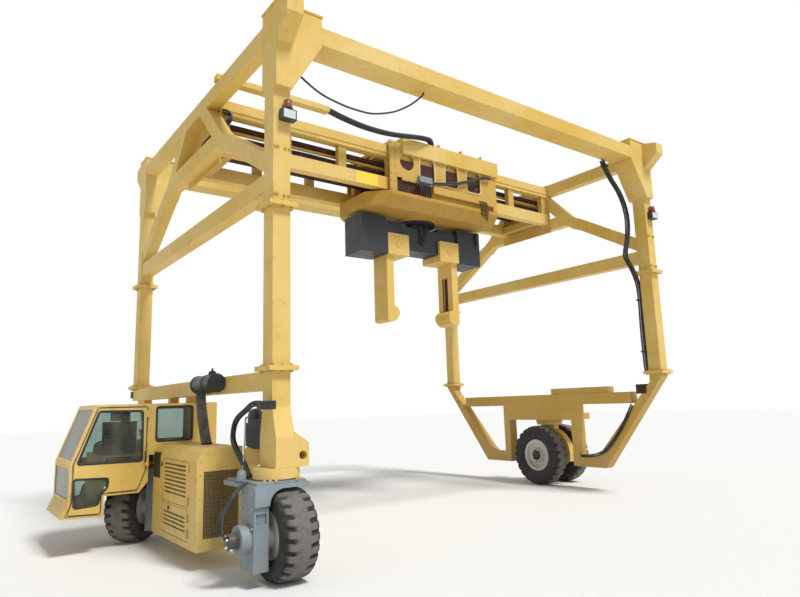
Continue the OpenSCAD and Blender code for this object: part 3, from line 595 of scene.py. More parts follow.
@dataclass(frozen=True)
class BareSteel:
    """Rolled or cast steel with no paint: dull metal under brown rust and dust.

    The rust lies in patches 143 mm wide. Its scale is drawn 11 mm wide, coarser than real, to make it show.
    """

    name: str
    metal: str = "#8a8783"
    rust: str = "#5a3320"
    rusted: float = 0.6
    roughness: float = 0.55
    patches_per_metre: float = 7.0
    scale_per_metre: float = 90.0

    def build(self) -> bpy.types.Material:
        """Mixes the finish.

        Returns:
            The material.
        """
        material, tree, out = blank_material(self.name)
        place = node(tree, "TexCoord").outputs["Object"]
        cloud = noise(tree, place, self.patches_per_metre, 6)
        grit = noise(tree, place, self.scale_per_metre, 3)
        speckle = times(tree, cloud, times(tree, grit, 0.25), "ADD")
        mask = band(tree, speckle, 0.75 - self.rusted * 0.4, 0.95 - self.rusted * 0.35)
        colour = blend_colour(tree, mask, linear(self.metal), linear(self.rust))
        rough = node(tree, "MapRange", {"Value": mask, "To Min": self.roughness, "To Max": 0.92}).outputs[0]
        metallic = node(tree, "MapRange", {"Value": mask, "To Min": 0.85, "To Max": 0.0}).outputs[0]
        bump = node(tree, "Bump", {"Height": grit, "Strength": 0.3, "Distance": 0.001}).outputs[0]
        surface = {"Base Color": colour, "Roughness": rough, "Metallic": metallic, "Normal": bump}
        shader = node(tree, "BsdfPrincipled", surface)
        tree.links.new(shader.outputs[0], out.inputs[0])
        return material


@dataclass(frozen=True)
class FloatGlass:
    """Flat tinted safety glass: clear with a green cast, and a thin film of dust in wide smears."""

    name: str
    tint: str = "#dfe8e4"
    film: str = "#c9c6b8"

    def build(self) -> bpy.types.Material:
        """Mixes the finish.

        Returns:
            The material.
        """
        material, tree, out = blank_material(self.name)
        place = node(tree, "TexCoord").outputs["Object"]
        smear = band(tree, noise(tree, place, 3, 4, (1, 1, 0.4)), 0.35, 0.8, 0.22)
        clear = node(tree, "BsdfTransparent", {"Color": linear(self.tint)})
        pane = {"Base Color": linear(self.film), "Roughness": 0.08, "IOR": 1.52}
        gloss = node(tree, "BsdfPrincipled", pane)
        rim = node(tree, "Fresnel", {"IOR": 1.45}).outputs[0]
        share = times(tree, smear, times(tree, rim, 0.9), "ADD")
        shader = node(tree, "MixShader", {0: share, 1: clear.outputs[0], 2: gloss.outputs[0]})
        tree.links.new(shader.outputs[0], out.inputs[0])
        return material


@dataclass(frozen=True)
class MouldedPlastic:
    """Injection-moulded plastic or a lamp lens, with pebble grain 2.5 to 4 mm wide and some dust."""

    name: str
    colour: str
    roughness: float = 0.4
    pebble_per_metre: float = 400.0

    def build(self) -> bpy.types.Material:
        """Mixes the finish.

        Returns:
            The material.
        """
        material, tree, out = blank_material(self.name)
        place = node(tree, "TexCoord").outputs["Object"]
        pebble = noise(tree, place, self.pebble_per_metre, 2)
        dust = band(tree, noise(tree, place, 12, 4), 0.5, 0.9, 0.25)
        colour = blend_colour(tree, dust, linear(self.colour), linear("#8f8878"))
        bump = node(tree, "Bump", {"Height": pebble, "Strength": 0.2, "Distance": 0.0006}).outputs[0]
        surface = {"Base Color": colour, "Roughness": self.roughness, "Normal": bump, "IOR": 1.49}
        shader = node(tree, "BsdfPrincipled", surface)
        tree.links.new(shader.outputs[0], out.inputs[0])
        return material


class Finish(Enum):
    """The carrier's finishes."""

    CREAM = SprayedEnamel("cream_enamel", "#d9b24f", "#e3c476", chips=0.7, runs=0.55, dust=0.22)
    # A darker copy of the cream enamel: grease and dirt on bolts and pipes, and painted shade on the
    # trolley's sides, the bridge's posts and ends and the right lower frame.
    CREAM_GREASY_SHADED = SprayedEnamel("cream_enamel_greasy_shaded", "#c69d42", "#d0ac5c", dirt="#3a2a1c", chips=0.9,
                                runs=0.75, dust=0.4)
    # The deck's coat is darker for grease and rust, and also as painted shade on the deck's underside.
    DECK = SprayedEnamel("greasy_shaded_deck_enamel", "#b88b32", "#c49a46", dirt="#4f341a", rust="#4a2717",
                         roughness=0.55, chips=1.0, runs=1.0, dust=0.4)
    # A paler copy of the cream enamel, as bright as its sunlit faces: painted highlight on the rims round the
    # trolley's windows.
    LIT_CREAM = SprayedEnamel("cream_enamel_painted_highlight", "#ead596", "#f1e0ae", chips=0.4, runs=0.2, dust=0.1)
    BRIGHT = SprayedEnamel("touched_up_yellow_enamel", "#f0d040", "#f3d75a", chips=0.2, runs=0.1, dust=0.1)
    BLACK = SprayedEnamel("black_enamel", "#1a2024", "#2a3238", dirt="#4a4740", rust="#7d7f7c",
                          roughness=0.36, chips=0.9, runs=0.2, dust=0.3)
    GREY = SprayedEnamel("blue_grey_enamel", "#75838a", "#8d9a9f", dirt="#3b3a36", roughness=0.45, chips=0.5,
                         runs=0.45, dust=0.25)
    RIM = SprayedEnamel("off_white_enamel", "#b9b9b2", "#cfcfc8", dirt="#6d675a", roughness=0.5, chips=0.5,
                        runs=0.2, dust=0.4)
    TYRE = WornRubber("tyre_rubber", clean="#161616", dusty="#56534f", worn="#6f6c67", dust=0.45)
    HOSE = WornRubber("hose_rubber", clean="#141414", dust=0.18, roughness=0.6)
    DUCT = WornRubber("dusty_duct_rubber", clean="#3a3733", dusty="#8a857b", dust=0.7, roughness=0.8)
    GASKET = WornRubber("window_rubber", clean="#161616", dust=0.12, roughness=0.7)
    STEEL = BareSteel("dull_steel")
    # Rusty steel; on the bridge's trays, the trolley's plates behind its windows and the grab's slot linings
    # its dark rust also paints the shade inside.
    RUST_AND_SHADE = BareSteel("rusty_steel_and_shade", rust="#46281c", rusted=1.2)
    GREASY = BareSteel("greasy_steel", metal="#4b4945", rust="#3b3028", rusted=0.5)
    ZINC = BareSteel("zinc_plated_steel", metal="#b5b3ab", rusted=0.25, roughness=0.4)
    GLASS = FloatGlass("tinted_glass")
    # A dark yellow-brown copy of the pod's enamel: painted shade on the slats in the louvres and the fins in
    # the rear grille.
    LOUVRE_SHADE = SprayedEnamel("louvre_enamel_painted_shade", "#8f7438", "#a1854a", dirt="#4a3a20", roughness=0.6, chips=0.4,
                           runs=0.2, dust=0.2)
    SEAT = MouldedPlastic("seat_vinyl", "#1c2322", 0.55, 250)
    DARK = MouldedPlastic("black_plastic", "#17191a", 0.5)
    LENS = MouldedPlastic("clear_lens", "#d8dcd8", 0.12)
    AMBER = MouldedPlastic("amber_lens", "#8f4a22", 0.3)
    RED = MouldedPlastic("red_lens", "#a3261d", 0.2)


class Paintshop:
    """Builds each finish once and puts it on pieces."""

    def __init__(self) -> None:
        """Starts with nothing mixed."""
        self.mixed: dict[Finish, bpy.types.Material] = {}

    def coat(self, obj: Piece, finish: Finish) -> Piece:
        """Gives an object one finish in place of what it has.

        Args:
            obj: a piece or a frame node.
            finish: what it gets.

        Returns:
            The same object.
        """
        if finish not in self.mixed:
            self.mixed[finish] = finish.value.build()
        obj.data.materials.clear()
        obj.data.materials.append(self.mixed[finish])
        return obj


SHOP = Paintshop()


def fit(obj: Piece, body: str, finish: Finish) -> Piece:
    """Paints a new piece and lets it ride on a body.

    Args:
        obj: the piece.
        body: the body it moves with.
        finish: what it is painted with.

    Returns:
        The same piece.
    """
    SHOP.coat(obj, finish)
    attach(obj, body)
    LOG.info("piece %s on %s", obj.name, body)
    return obj


# Studio


@dataclass
class Studio:
    """Camera at the photograph's place, a pale floor and soft light. Angles are degrees."""

    eye: Spot = (-8461.0, 6305.0, 1650.0)
    pitch: float = 9.631
    yaw: float = 36.897
    roll: float = -1.771
    focal_px: float = 617.84
    width_px: int = 800
    sensor: float = 36.0
    floor_half: float = 60.0
    sun_ray: Spot = (0.55, 0.12, -0.85)
    sun_power: float = 2.7
    sun_spread: float = 14.0
    sky_power: float = 0.42

    def camera(self) -> None:
        """Places the camera: forward from yaw and pitch, then rolled about that line."""
        p, y, r = (math.radians(a) for a in (self.pitch, self.yaw, self.roll))
        forward = Vector((math.cos(y) * math.cos(p), -math.sin(y) * math.cos(p), math.sin(p)))
        level = Vector((-math.sin(y), -math.cos(y), 0))
        top = level.cross(forward)
        right = level * math.cos(r) + top * math.sin(r)
        up = -level * math.sin(r) + top * math.cos(r)
        data = bpy.data.cameras.new("camera")
        data.sensor_width = self.sensor
        data.lens = self.focal_px / self.width_px * self.sensor
        data.clip_end = 300
        eye = bpy.data.objects.new("camera", data)
        turn = Matrix((right, up, -forward)).transposed().to_4x4()
        eye.matrix_world = Matrix.Translation(Vector(at(*self.eye))) @ turn
        bpy.context.scene.collection.objects.link(eye)
        bpy.context.scene.camera = eye

    def light(self) -> None:
        """Adds one soft key lamp and an even sky that shows white behind the object."""
        key = bpy.data.lights.new("key", "SUN")
        key.energy = self.sun_power
        key.angle = math.radians(self.sun_spread)
        lamp = bpy.data.objects.new("key", key)
        lamp.rotation_euler = Vector(self.sun_ray).to_track_quat("-Z", "Y").to_euler()
        bpy.context.scene.collection.objects.link(lamp)
        world = bpy.data.worlds.new("studio")
        bpy.context.scene.world = world
        world.use_nodes = True
        tree = world.node_tree
        tree.nodes.clear()
        rays = node(tree, "LightPath")
        mirrored = times(tree, rays.outputs["Is Glossy Ray"], rays.outputs["Is Transmission Ray"], "MAXIMUM")
        seen = times(tree, rays.outputs["Is Camera Ray"], mirrored, "MAXIMUM")
        soft = node(tree, "Background", {"Color": (0.93, 0.96, 1.0, 1.0), "Strength": self.sky_power})
        white = node(tree, "Background", {"Color": (1.0, 1.0, 1.0, 1.0), "Strength": 1.0})
        both = node(tree, "MixShader", {0: seen, 1: soft.outputs[0], 2: white.outputs[0]})
        out = node(tree, "OutputWorld")
        tree.links.new(both.outputs[0], out.inputs[0])
        bpy.context.scene.view_settings.view_transform = "Standard"

    def floor(self) -> None:
        """Lays a pale floor under the wheels, with a fine grain."""
        h = self.floor_half
        corners = np.array([[-h, -h, 0], [h, -h, 0], [h, h, 0], [-h, h, 0]])
        floor = make_object("floor", corners, [[0, 1, 2, 3]])
        material, tree, out = blank_material("floor_concrete")
        place = node(tree, "TexCoord").outputs["Object"]
        grain = noise(tree, place, 30, 4)
        colour = blend_colour(tree, band(tree, grain, 0.3, 0.8), linear("#efefec"), linear("#e6e6e2"))
        shader = node(tree, "BsdfPrincipled", {"Base Color": colour, "Roughness": 0.95})
        tree.links.new(shader.outputs[0], out.inputs[0])
        floor.data.materials.append(material)

    def build(self) -> None:
        """Sets up the camera, the light and the floor."""
        self.camera()
        self.light()
        self.floor()
        LOG.info("studio ready")


# Tyres and wheels


def ramp(value: Array, start: float, rise: float) -> Array:
    """Returns 0 up to start, 1 from start + rise on, and a straight slope between them."""
    return np.clip((value - start) / rise, 0, 1)


@dataclass
class Tyre:
    """A lugged tyre, in metres. Bare shares below are parts of its radius or of its half width."""

    name: str
    centre: Array
    axis: Array
    radius: float
    width: float
    hole: float
    lugs: int = 24
    lug_depth: float = 0.028
    lug_lead: float = 0.25
    lug_slant: float = 0.35
    steps: int = 408
    across: int = 48

    def section(self) -> tuple[Array, Array]:
        """Works out the closed cross-section: a superellipse, squarer across than outwards.

        Returns:
            The places across the tyre, and the radius at each.
        """
        t = np.linspace(-0.5 * math.pi, 1.5 * math.pi, self.across, endpoint=False)
        mid = (self.radius + self.hole) / 2
        half = (self.radius - self.hole) / 2
        c, s = np.cos(t), np.sin(t)
        across = np.sign(c) * np.abs(c) ** 0.55 * self.width / 2
        out = mid + np.sign(s) * np.abs(s) ** 0.42 * half
        return across, out

    def build(self) -> Piece:
        """Builds the tyre: its radius falls by the lug depth in the slanted gaps between the shoulder lugs.

        The lugs of the two sides are half a pitch apart, and a shallow groove runs on each side of the crown.
        A point attribute called tread is 1 on the lugs' tops, where the rubber is worn pale.

        Returns:
            The tyre.
        """
        across, out = self.section()
        turn = np.linspace(0, 2 * math.pi, self.steps, endpoint=False)
        y = np.broadcast_to(across, (self.steps, self.across))
        r = np.broadcast_to(out, (self.steps, self.across)).copy()
        theta = np.broadcast_to(turn[:, None], r.shape)
        crown = ramp(r, self.radius * 0.86, self.radius * 0.1)
        side = np.abs(y) / (self.width / 2)
        phase = self.lugs * theta / (2 * math.pi) + np.sign(y) * self.lug_lead + side * self.lug_slant
        gap = ramp(np.abs((phase % 1.0) - 0.5), 0.28, 0.05)
        shoulder = ramp(side, 0.42, 0.08)
        groove = np.clip(1 - np.abs(side - 0.18) / 0.05, 0, 1) * 0.5
        r -= np.maximum(gap * shoulder, groove) * crown * self.lug_depth
        u, v, w = axis_frame(self.axis)
        ring = np.cos(theta)[..., None] * u + np.sin(theta)[..., None] * v
        points = self.centre + ring * r[..., None] + w * y[..., None]
        faces = grid_faces(self.steps, self.across, True, True)
        obj = make_object(self.name, points.reshape(-1, 3), faces, Shade.SOFT)
        tread = obj.data.attributes.new("tread", "FLOAT", "POINT")
        worn = ramp(r, self.radius * 0.955, self.radius * 0.03)
        tread.data.foreach_set("value", worn.reshape(-1).astype(np.float32))
        return outward(obj)


@dataclass
class Wheel:
    """The pressed dish, hub and nuts on one wheel's outer side, in metres.

    The two profiles are pairs of a share of the rim hole and a share of the half width.
    """

    name: str
    body: str
    centre: Array
    axis: Array
    width: float
    hole: float
    nuts: int = 10
    nut_circle: float = 0.46
    nut_seat: float = 0.44
    dish: Profile = ((1.04, 0.62), (1.06, 0.72), (0.98, 0.76), (0.9, 0.66), (0.84, 0.3), (0.62, 0.22),
                     (0.6, 0.42), (0.32, 0.46), (0.3, 0.72), (0.02, 0.76), (0.02, 0.1), (1.0, 0.1))
    hub: Profile = ((0.02, 0.7), (0.30, 0.7), (0.33, 0.79), (0.24, 0.84), (0.22, 0.96), (0.02, 0.98))

    def build(self) -> None:
        """Turns the dish and the hub and sets a ring of nuts on the dish."""
        r = self.hole
        w = self.width / 2
        dish = [(r * out, w * along) for out, along in self.dish]
        fit(lathe(self.name + "_dish", dish, self.centre, self.axis, 64), self.body, Finish.RIM)
        hub = [(r * out, w * along) for out, along in self.hub]
        boss = lathe(self.name + "_hub", hub, self.centre, self.axis, 48)
        fit(boss, self.body, Finish.GREASY)
        u, v, axis = axis_frame(self.axis)
        turn = np.linspace(0, 2 * math.pi, self.nuts, endpoint=False)[:, None]
        circle = (np.cos(turn) * u + np.sin(turn) * v) * r * self.nut_circle
        seats = self.centre + circle + axis * w * self.nut_seat
        fit(studs(self.name + "_nuts", seats, axis, 0.018, 0.028), self.body, Finish.ZINC)


# Frame


@dataclass
class Portal:
    """What is bolted and strapped to the legs, heads and lower frames. Places are millimetres."""

    half_x: float = 2610.0
    half_y: float = 3520.0
    face_x: float = 112.5
    face_y: float = 100.0
    margin: float = 32.0
    joints: tuple[float, float] = (2041.0, 3765.0)
    joint_half: float = 25.0
    bolts_x: tuple[float, float] = (-70.0, 70.0)
    bolts_y: Spot = (-100.0, 0.0, 100.0)
    face_rows: Profile = ((-88, 4395), (-42, 4395), (45, 4400), (80, 4400),
                          (-80, 3866), (-30, 3866), (50, 3872), (82, 3872))
    head_bolt_y: tuple[float, float] = (-70.0, 70.0)
    head_bolt_z: tuple[float, float] = (5180.0, 5960.0)
    lamp_x: float = -2767.5
    lamp_y: tuple[float, float] = (3470.0, -3570.0)
    lens_x: tuple[float, float] = (-2816.0, -2811.0)
    lens_z: tuple[float, float] = (4712.0, 4808.0)
    lens_half: float = 70.0
    dome_z: float = 4840.0
    collar_z: float = 4826.0
    dome: Profile = ((0.0005, 0.0), (0.049, 0.0), (0.050, 0.045), (0.045, 0.072), (0.030, 0.088),
                     (0.0005, 0.092))
    sill_y: float = -3404.0
    sill_line: Profile = ((-2116, 1514), (-1899, 1159), (-1686, 890), (-1510, 724), (-1341, 646),
                          (-1164, 612), (-963, 600))
    sill_cover: Span = (-2420, -3520, 1690, -2235, -3400, 1850)
    foot_y: float = 3735.0
    foot_loop: Route = ((-2790, -60, 1672), (-2700, 0, 1690), (-2540, 0, 1676), (-2400, 0, 1626),
                        (-2180, 0, 1545), (-2075, 0, 1452), (-2060, 0, 1330), (-2180, 0, 1215),
                        (-2330, -8, 1100), (-2420, -20, 1000), (-2440, -30, 945))
    foot_shifts: Route = ((0, 0, 0), (26, 22, -16), (-14, 34, 18))
    foot_pipe: Route = ((-2300, 3690, 1560), (-2360, 3742, 1540), (-2390, 3760, 1420), (-2380, 3762, 1240),
                        (-2345, 3755, 1080), (-2330, 3745, 960))
    foot_clamp: Span = (-2830, 3626, 1630, -2730, 3790, 1716)
    valve_side: Span = (-2176, 3432, 1245, -2012, 3598, 1496)
    can: Profile = ((0.0005, 0.0), (0.082, 0.0), (0.082, 0.33), (0.070, 0.375), (0.035, 0.40),
                    (0.0005, 0.405))
    can_spot: Spot = (-2085, 3515, 1240)

    def joint_bolts(self) -> None:
        """Puts ten bolts and ten nuts round each leg at both of its flange joints."""
        side_x, side_y = self.face_x + self.margin, self.face_y + self.margin
        ring = [(sx * side_x, y) for sx in (-1, 1) for y in self.bolts_y]
        ring += [(x, sy * side_y) for sy in (-1, 1) for x in self.bolts_x]
        legs = [(sx * self.half_x, sy * self.half_y) for sx in (-1, 1) for sy in (-1, 1)]
        for name, way in (("flange_bolts", 1), ("flange_nuts", -1)):
            rise = [z + way * self.joint_half for z in self.joints]
            seats = [(lx + x, ly + y, z) for lx, ly in legs for z in rise for x, y in ring]
            heads = studs(name, places(seats), (0, 0, way), 0.017, 0.018)
            fit(heads, "frame", Finish.CREAM_GREASY_SHADED)

    def leg_bolts(self) -> None:
        """Puts the bolt rows that show on the rear left leg, and their like on the rear right leg."""
        face = -self.half_x - self.face_x
        seats = [(face, sy * self.half_y + y, z) for sy in (-1, 1) for y, z in self.face_rows]
        rows = studs("leg_face_bolts", places(seats), (-1, 0, 0), 0.016, 0.016)
        fit(rows, "frame", Finish.CREAM_GREASY_SHADED)
        corners = [(y, z) for y in self.head_bolt_y for z in self.head_bolt_z]
        seats = [(face, sy * self.half_y + y, z) for sy in (-1, 1) for y, z in corners]
        heads = studs("head_bolts", places(seats), (-1, 0, 0), 0.014, 0.012)
        fit(heads, "frame", Finish.CREAM_GREASY_SHADED)

    def lamps(self) -> None:
        """Adds a lens, a beacon dome and its collar to each of the two rear work lamps."""
        (back, front), (low, high) = self.lens_x, self.lens_z
        spans = [(back, y - self.lens_half, low, front, y + self.lens_half, high) for y in self.lamp_y]
        fit(slabs("lamp_lenses", spans), "frame", Finish.LENS)
        for tag, y, finish in zip(("left", "right"), self.lamp_y, (Finish.AMBER, Finish.RED)):
            seat = at(self.lamp_x, y, self.dome_z)
            dome = lathe("beacon_rear_" + tag, self.dome, seat, (0, 0, 1), 32, Shade.SOFT)
            fit(dome, "frame", finish)
        seats = places([(self.lamp_x, y, self.collar_z) for y in self.lamp_y])
        collars = studs("beacon_collars", seats, (0, 0, 1), 0.056, 0.020, 24)
        fit(collars, "frame", Finish.DARK)

    def sill_hose(self) -> None:
        """Runs the black hose pair inside the right lower frame and seats the rusty cover at its top."""
        route = [(x, self.sill_y, z) for x, z in self.sill_line]
        pair = pipes("right_frame_hose", beside(route, [(0, 0, 0), (-24, 0, -26)]), 14.0, 50)
        fit(pair, "frame", Finish.HOSE)
        fit(slabs("right_frame_cover", [self.sill_cover], 0.006), "frame", Finish.RUST_AND_SHADE)

    def foot(self) -> None:
        """Adds the hoses, clamp, pipe, valve cover and filter can that show round the rear left foot."""
        loop = [(x, self.foot_y + y, z) for x, y, z in self.foot_loop]
        hoses = pipes("foot_hoses", beside(loop, self.foot_shifts), 14.0, 60)
        fit(hoses, "frame", Finish.HOSE)
        fit(slabs("valve_box_side", [self.valve_side], 0.012), "frame", Finish.BLACK)
        can = lathe("filter_can", self.can, at(*self.can_spot), (0, 0, 1), 40, Shade.SOFT)
        fit(can, "frame", Finish.BLACK)
        fit(slabs("foot_hose_clamp", [self.foot_clamp], 0.006), "frame", Finish.DARK)
        fit(pipes("foot_zinc_pipe", [self.foot_pipe], 9.0), "frame", Finish.ZINC)

    def build(self) -> None:
        """Builds the frame's own fittings."""
        self.joint_bolts()
        self.leg_bolts()
        self.lamps()
        self.sill_hose()
        self.foot()


@dataclass
class Bridge:
    """Lines inside the cross bridge that carries the trolley, and rusty trays whose dark rust also paints the
    shade inside it.
    """

    reach: float = 3380.0
    inner_x: float = 410.0
    newer_paint: Span = (-603, 775, 5136, -598, 1200, 5334)
    thick_loop: Route = ((-520, 3470, 5760), (-640, 3400, 5700), (-760, 3380, 5590), (-820, 3420, 5500),
                         (-700, 3460, 5440), (-560, 3475, 5420))
    thick_shifts: Route = ((0, 0, 0), (22, -26, 14), (-20, -48, 30), (8, -66, 6))

    def lines(self) -> None:
        """Runs two rusty trays, five long hoses and one painted pipe inside each chord; the trays' dark rust
        also paints the shade inside the bridge.
        """
        for side, tag in ((-1, "rear"), (1, "front")):
            x = side * self.inner_x
            # rusty trays: rust, and painted shade inside the bridge
            tray = [(x, -self.reach, 5440, x - side * 190, self.reach, 5475),
                    (x, -self.reach, 5600, x - side * 60, self.reach, 5665)]
            fit(slabs(f"bridge_tray_rust_and_shade_{tag}", tray), "frame", Finish.RUST_AND_SHADE)
            steps = np.linspace(-self.reach, self.reach, 15)
            runs = [[(x - side * (20 + 36 * k), y, 5494 + 6 * math.sin(y * 0.004 + k)) for y in steps]
                    for k in range(5)]
            fit(pipes(f"bridge_hoses_{tag}", runs, 16.0, 60, 8), "frame", Finish.HOSE)
            run = [(x - side * 30, y, 5560) for y in (-self.reach, -1000, 1000, self.reach)]
            pipe = pipes(f"bridge_pipe_{tag}", [run], 26.0, 12, 16)
            fit(pipe, "frame", Finish.CREAM_GREASY_SHADED)

    def patch(self) -> None:
        """Lays the stretch of newer yellow paint on the rear lower chord."""
        fit(slabs("newer_paint_stretch", [self.newer_paint], 0.0015), "frame", Finish.BRIGHT)

    def end_hoses(self) -> None:
        """Hangs the hose bunch from the left truss's rail to the bridge's end, with rusty pipes behind it."""
        bunch = pipes("bridge_end_hoses", beside(self.thick_loop, self.thick_shifts), 14.0)
        fit(bunch, "frame", Finish.HOSE)
        rusty = [[(-560 + 60 * k, 3450, 5480 - 12 * k), (-380 + 40 * k, 3470, 5440),
                  (-120, 3468, 5400 + 14 * k), (120 - 30 * k, 3456, 5380 + 22 * k)] for k in range(4)]
        fit(pipes("bridge_end_pipes", rusty, 13.0), "frame", Finish.RUST_AND_SHADE)

    def build(self) -> None:
        """Builds the bridge's lines."""
        self.lines()
        self.patch()
        self.end_hoses()


# Soft goods and cords


@dataclass
class Hoses:
    """The hoses that hang free: two main ones, a thin one under the rear cross beam, five down a leg.

    Lengths are millimetres. The main and the thin routes are those that the frame's own hoses follow.
    """

    main_radius: float = 27.0
    main_pitch: float = 70.0
    main_hold: Spot = (-900, 1840, 6030)
    main_pull: Spot = (-675, -300, 6030)
    slung_radius: float = 12.0
    leg_radius: float = 14.0
    leg_x: float = -2478.0
    leg_shifts: Route = ((0, 0, 0), (30, 8, -8), (44, -32, 12), (10, 38, 12), (42, 46, -8))
    leg_line: Profile = ((-2700, 5702), (-2740, 5620), (-2897, 5419), (-3153, 5155), (-3290, 4809),
                         (-3262, 4440), (-3160, 4156), (-3154, 4014), (-3330, 3800), (-3459, 3476),
                         (-3445, 2769), (-3450, 2240), (-3470, 2074))
    leg_straps: Profile = ((-3448, 2400), (-3458, 3300), (-2745, 5610))
    main_route: Route = ((-900, 1879.5, 6030), (-900, 1840, 6030), (-888, 1560, 5985), (-866, 1160, 5955),
                         (-830, 656, 5985), (-800, 85, 6080), (-738, -190, 6132), (-690, -285, 6138),
                         (-675, -322, 6100), (-675, -322, 6060.5))
    slung_x: float = -2560.0
    slung_line: Profile = ((3200, 5427), (3200, 5390), (2954, 5262), (2683, 5204), (2456, 5189), (2221, 5203),
                           (1974, 5280), (1781, 5374), (1580, 5513), (1390, 5690), (1390, 5724.5))

    def sweep(self, name: str, route: Array, radius: float, body: str | None) -> Piece:
        """Args:
            name: the hose's name.
            route: its points in millimetres.
            radius: its radius in millimetres.
            body: the body it rides on, or None where it runs between two.

        Returns:
            The hose.
        """
        path = rounded_route(places(route), 40)
        hose = tube(name, path, radius * MM, 20)
        SHOP.coat(hose, Finish.HOSE)
        if body:
            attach(hose, body)
        return hose

    def build(self) -> None:
        """Builds the hoses: the main ones run between frame and trolley on no body, the others ride on the
        frame.
        """
        route = np.array(self.main_route)
        for shift, name in ((-0.5, "main_hose_rear"), (0.5, "main_hose_front")):
            beside_axis = np.array([shift * self.main_pitch, 0, 0])
            hose = self.sweep(name, route + beside_axis, self.main_radius, None)
            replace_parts(hose, "main_hose")
            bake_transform(hose)
        slung = np.array([(self.slung_x, y, z) for y, z in self.slung_line])
        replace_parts(self.sweep("slung_hose_line", slung, self.slung_radius, "frame"), "slung_hose")
        line = np.array([(self.leg_x, y, z) for y, z in self.leg_line])
        for count, shift in enumerate(self.leg_shifts):
            self.sweep(f"leg_hose_{count + 1}", line + np.array(shift), self.leg_radius, "frame")
        x = self.leg_x
        straps = [(x - 24, y - 40, z - 12, x + 76, y + 66, z + 12) for y, z in self.leg_straps]
        fit(slabs("leg_hose_straps", straps, 0.004), "frame", Finish.DARK)


# Trolley and grab


@dataclass
class Trolley:
    """Lugs, hoses, valves, bolts and guard plates on the travelling trolley; the guard plates' dark rust also
    paints the shade inside it.
    """

    side_x: float = -671.0
    hose_x: float = -722.0
    windows: Profile = ((-380, -45), (-922, -615), (-1477, -1127))
    window_z: tuple[float, float] = (5380.0, 5800.0)
    lug_y: tuple[float, float, float] = (-485.0, -1007.0, -1500.0)
    side_line: Profile = ((60, 5300), (-10, 5345), (-452, 5392), (-925, 5500), (-1431, 5690), (-1700, 5745))
    valve_block: Span = (-745, -265, 5330, -672, 10, 5440)

    def lugs(self) -> None:
        """Stands the lifting lugs on the cover's rear edge."""
        spans = [(-715, y - 14, 6060, -640, y + 14, 6118) for y in self.lug_y]
        fit(slabs("cover_lugs", spans, 0.006), "trolley", Finish.CREAM)

    def bolts(self) -> None:
        """Rows bolts along the rear side plate's lower edge and up its end posts."""
        low = [(self.side_x, y, 5345) for y in np.arange(-1700, 300, 125)]
        post = [(self.side_x, y, z) for y in (465, 550) for z in np.arange(5150, 5950, 130)]
        heads = studs("side_plate_bolts", places(low + post), (-1, 0, 0), 0.012, 0.012)
        fit(heads, "trolley", Finish.ZINC)

    def hoses(self) -> None:
        """Runs the hoses along the rear side plate, down to the deck and into the valve block."""
        x = self.hose_x
        long = [(x, y, z) for y, z in self.side_line]
        pair = pipes("side_hoses", beside(long, [(0, 0, 0), (-4, 12, -34)]), 14.0, 60)
        fit(pair, "trolley", Finish.HOSE)
        bunch = [[(x, 40 - 52 * k, 5330 + 8 * k), (x - 30, 20 - 56 * k, 5240), (x - 22, -10 - 52 * k, 5140),
                  (x + 10, -40 - 50 * k, 5094)] for k in range(5)]
        fit(pipes("valve_hoses", bunch, 12.0), "trolley", Finish.HOSE)
        fit(slabs("valve_block_trolley", [self.valve_block], 0.006), "trolley", Finish.GREY)
        thin = [[(-716, -1390 - 34 * k, 5250), (-730, -1400 - 36 * k, 5150), (-724, -1420 - 34 * k, 5060),
                 (-700, -1430 - 30 * k, 4990 - 20 * k)] for k in range(6)]
        fit(pipes("deck_pipes", thin, 7.0, 24, 8), "trolley", Finish.RUST_AND_SHADE)

    def inside(self) -> None:
        """Sets rusty guard plates behind the windows of both sides, whose dark rust also paints the shade
        inside the trolley, and raised rims round the windows whose pale enamel paints their highlight.
        """
        low, high = self.window_z
        for side, tag in ((-1, "rear"), (1, "front")):
            near, far = side * 636, side * 626
            # dark rusty plates behind the windows: rust, and painted shade inside the trolley
            spans = [(near, -1780, 5340, far, 330, 5690), (near, -300, 5095, far, 430, 5318)]
            fit(slabs(f"guard_plates_rust_and_shade_{tag}", spans), "trolley", Finish.RUST_AND_SHADE)
            face = -side * self.side_x
            for count, (right, left) in enumerate(self.windows):
                ring = [(face, right, high), (face, right, low), (face, left, low), (face, left, high)]
                # the rims' pale enamel paints a highlight round each window
                edge = outline_band(f"window_edge_highlight_{tag}_{count + 1}", ring, (side, 0, 0), 24, 12, 78)
                fit(edge, "trolley", Finish.LIT_CREAM)

    def build(self) -> None:
        """Builds the trolley's fittings."""
        self.lugs()
        self.bolts()
        self.hoses()
        self.inside()


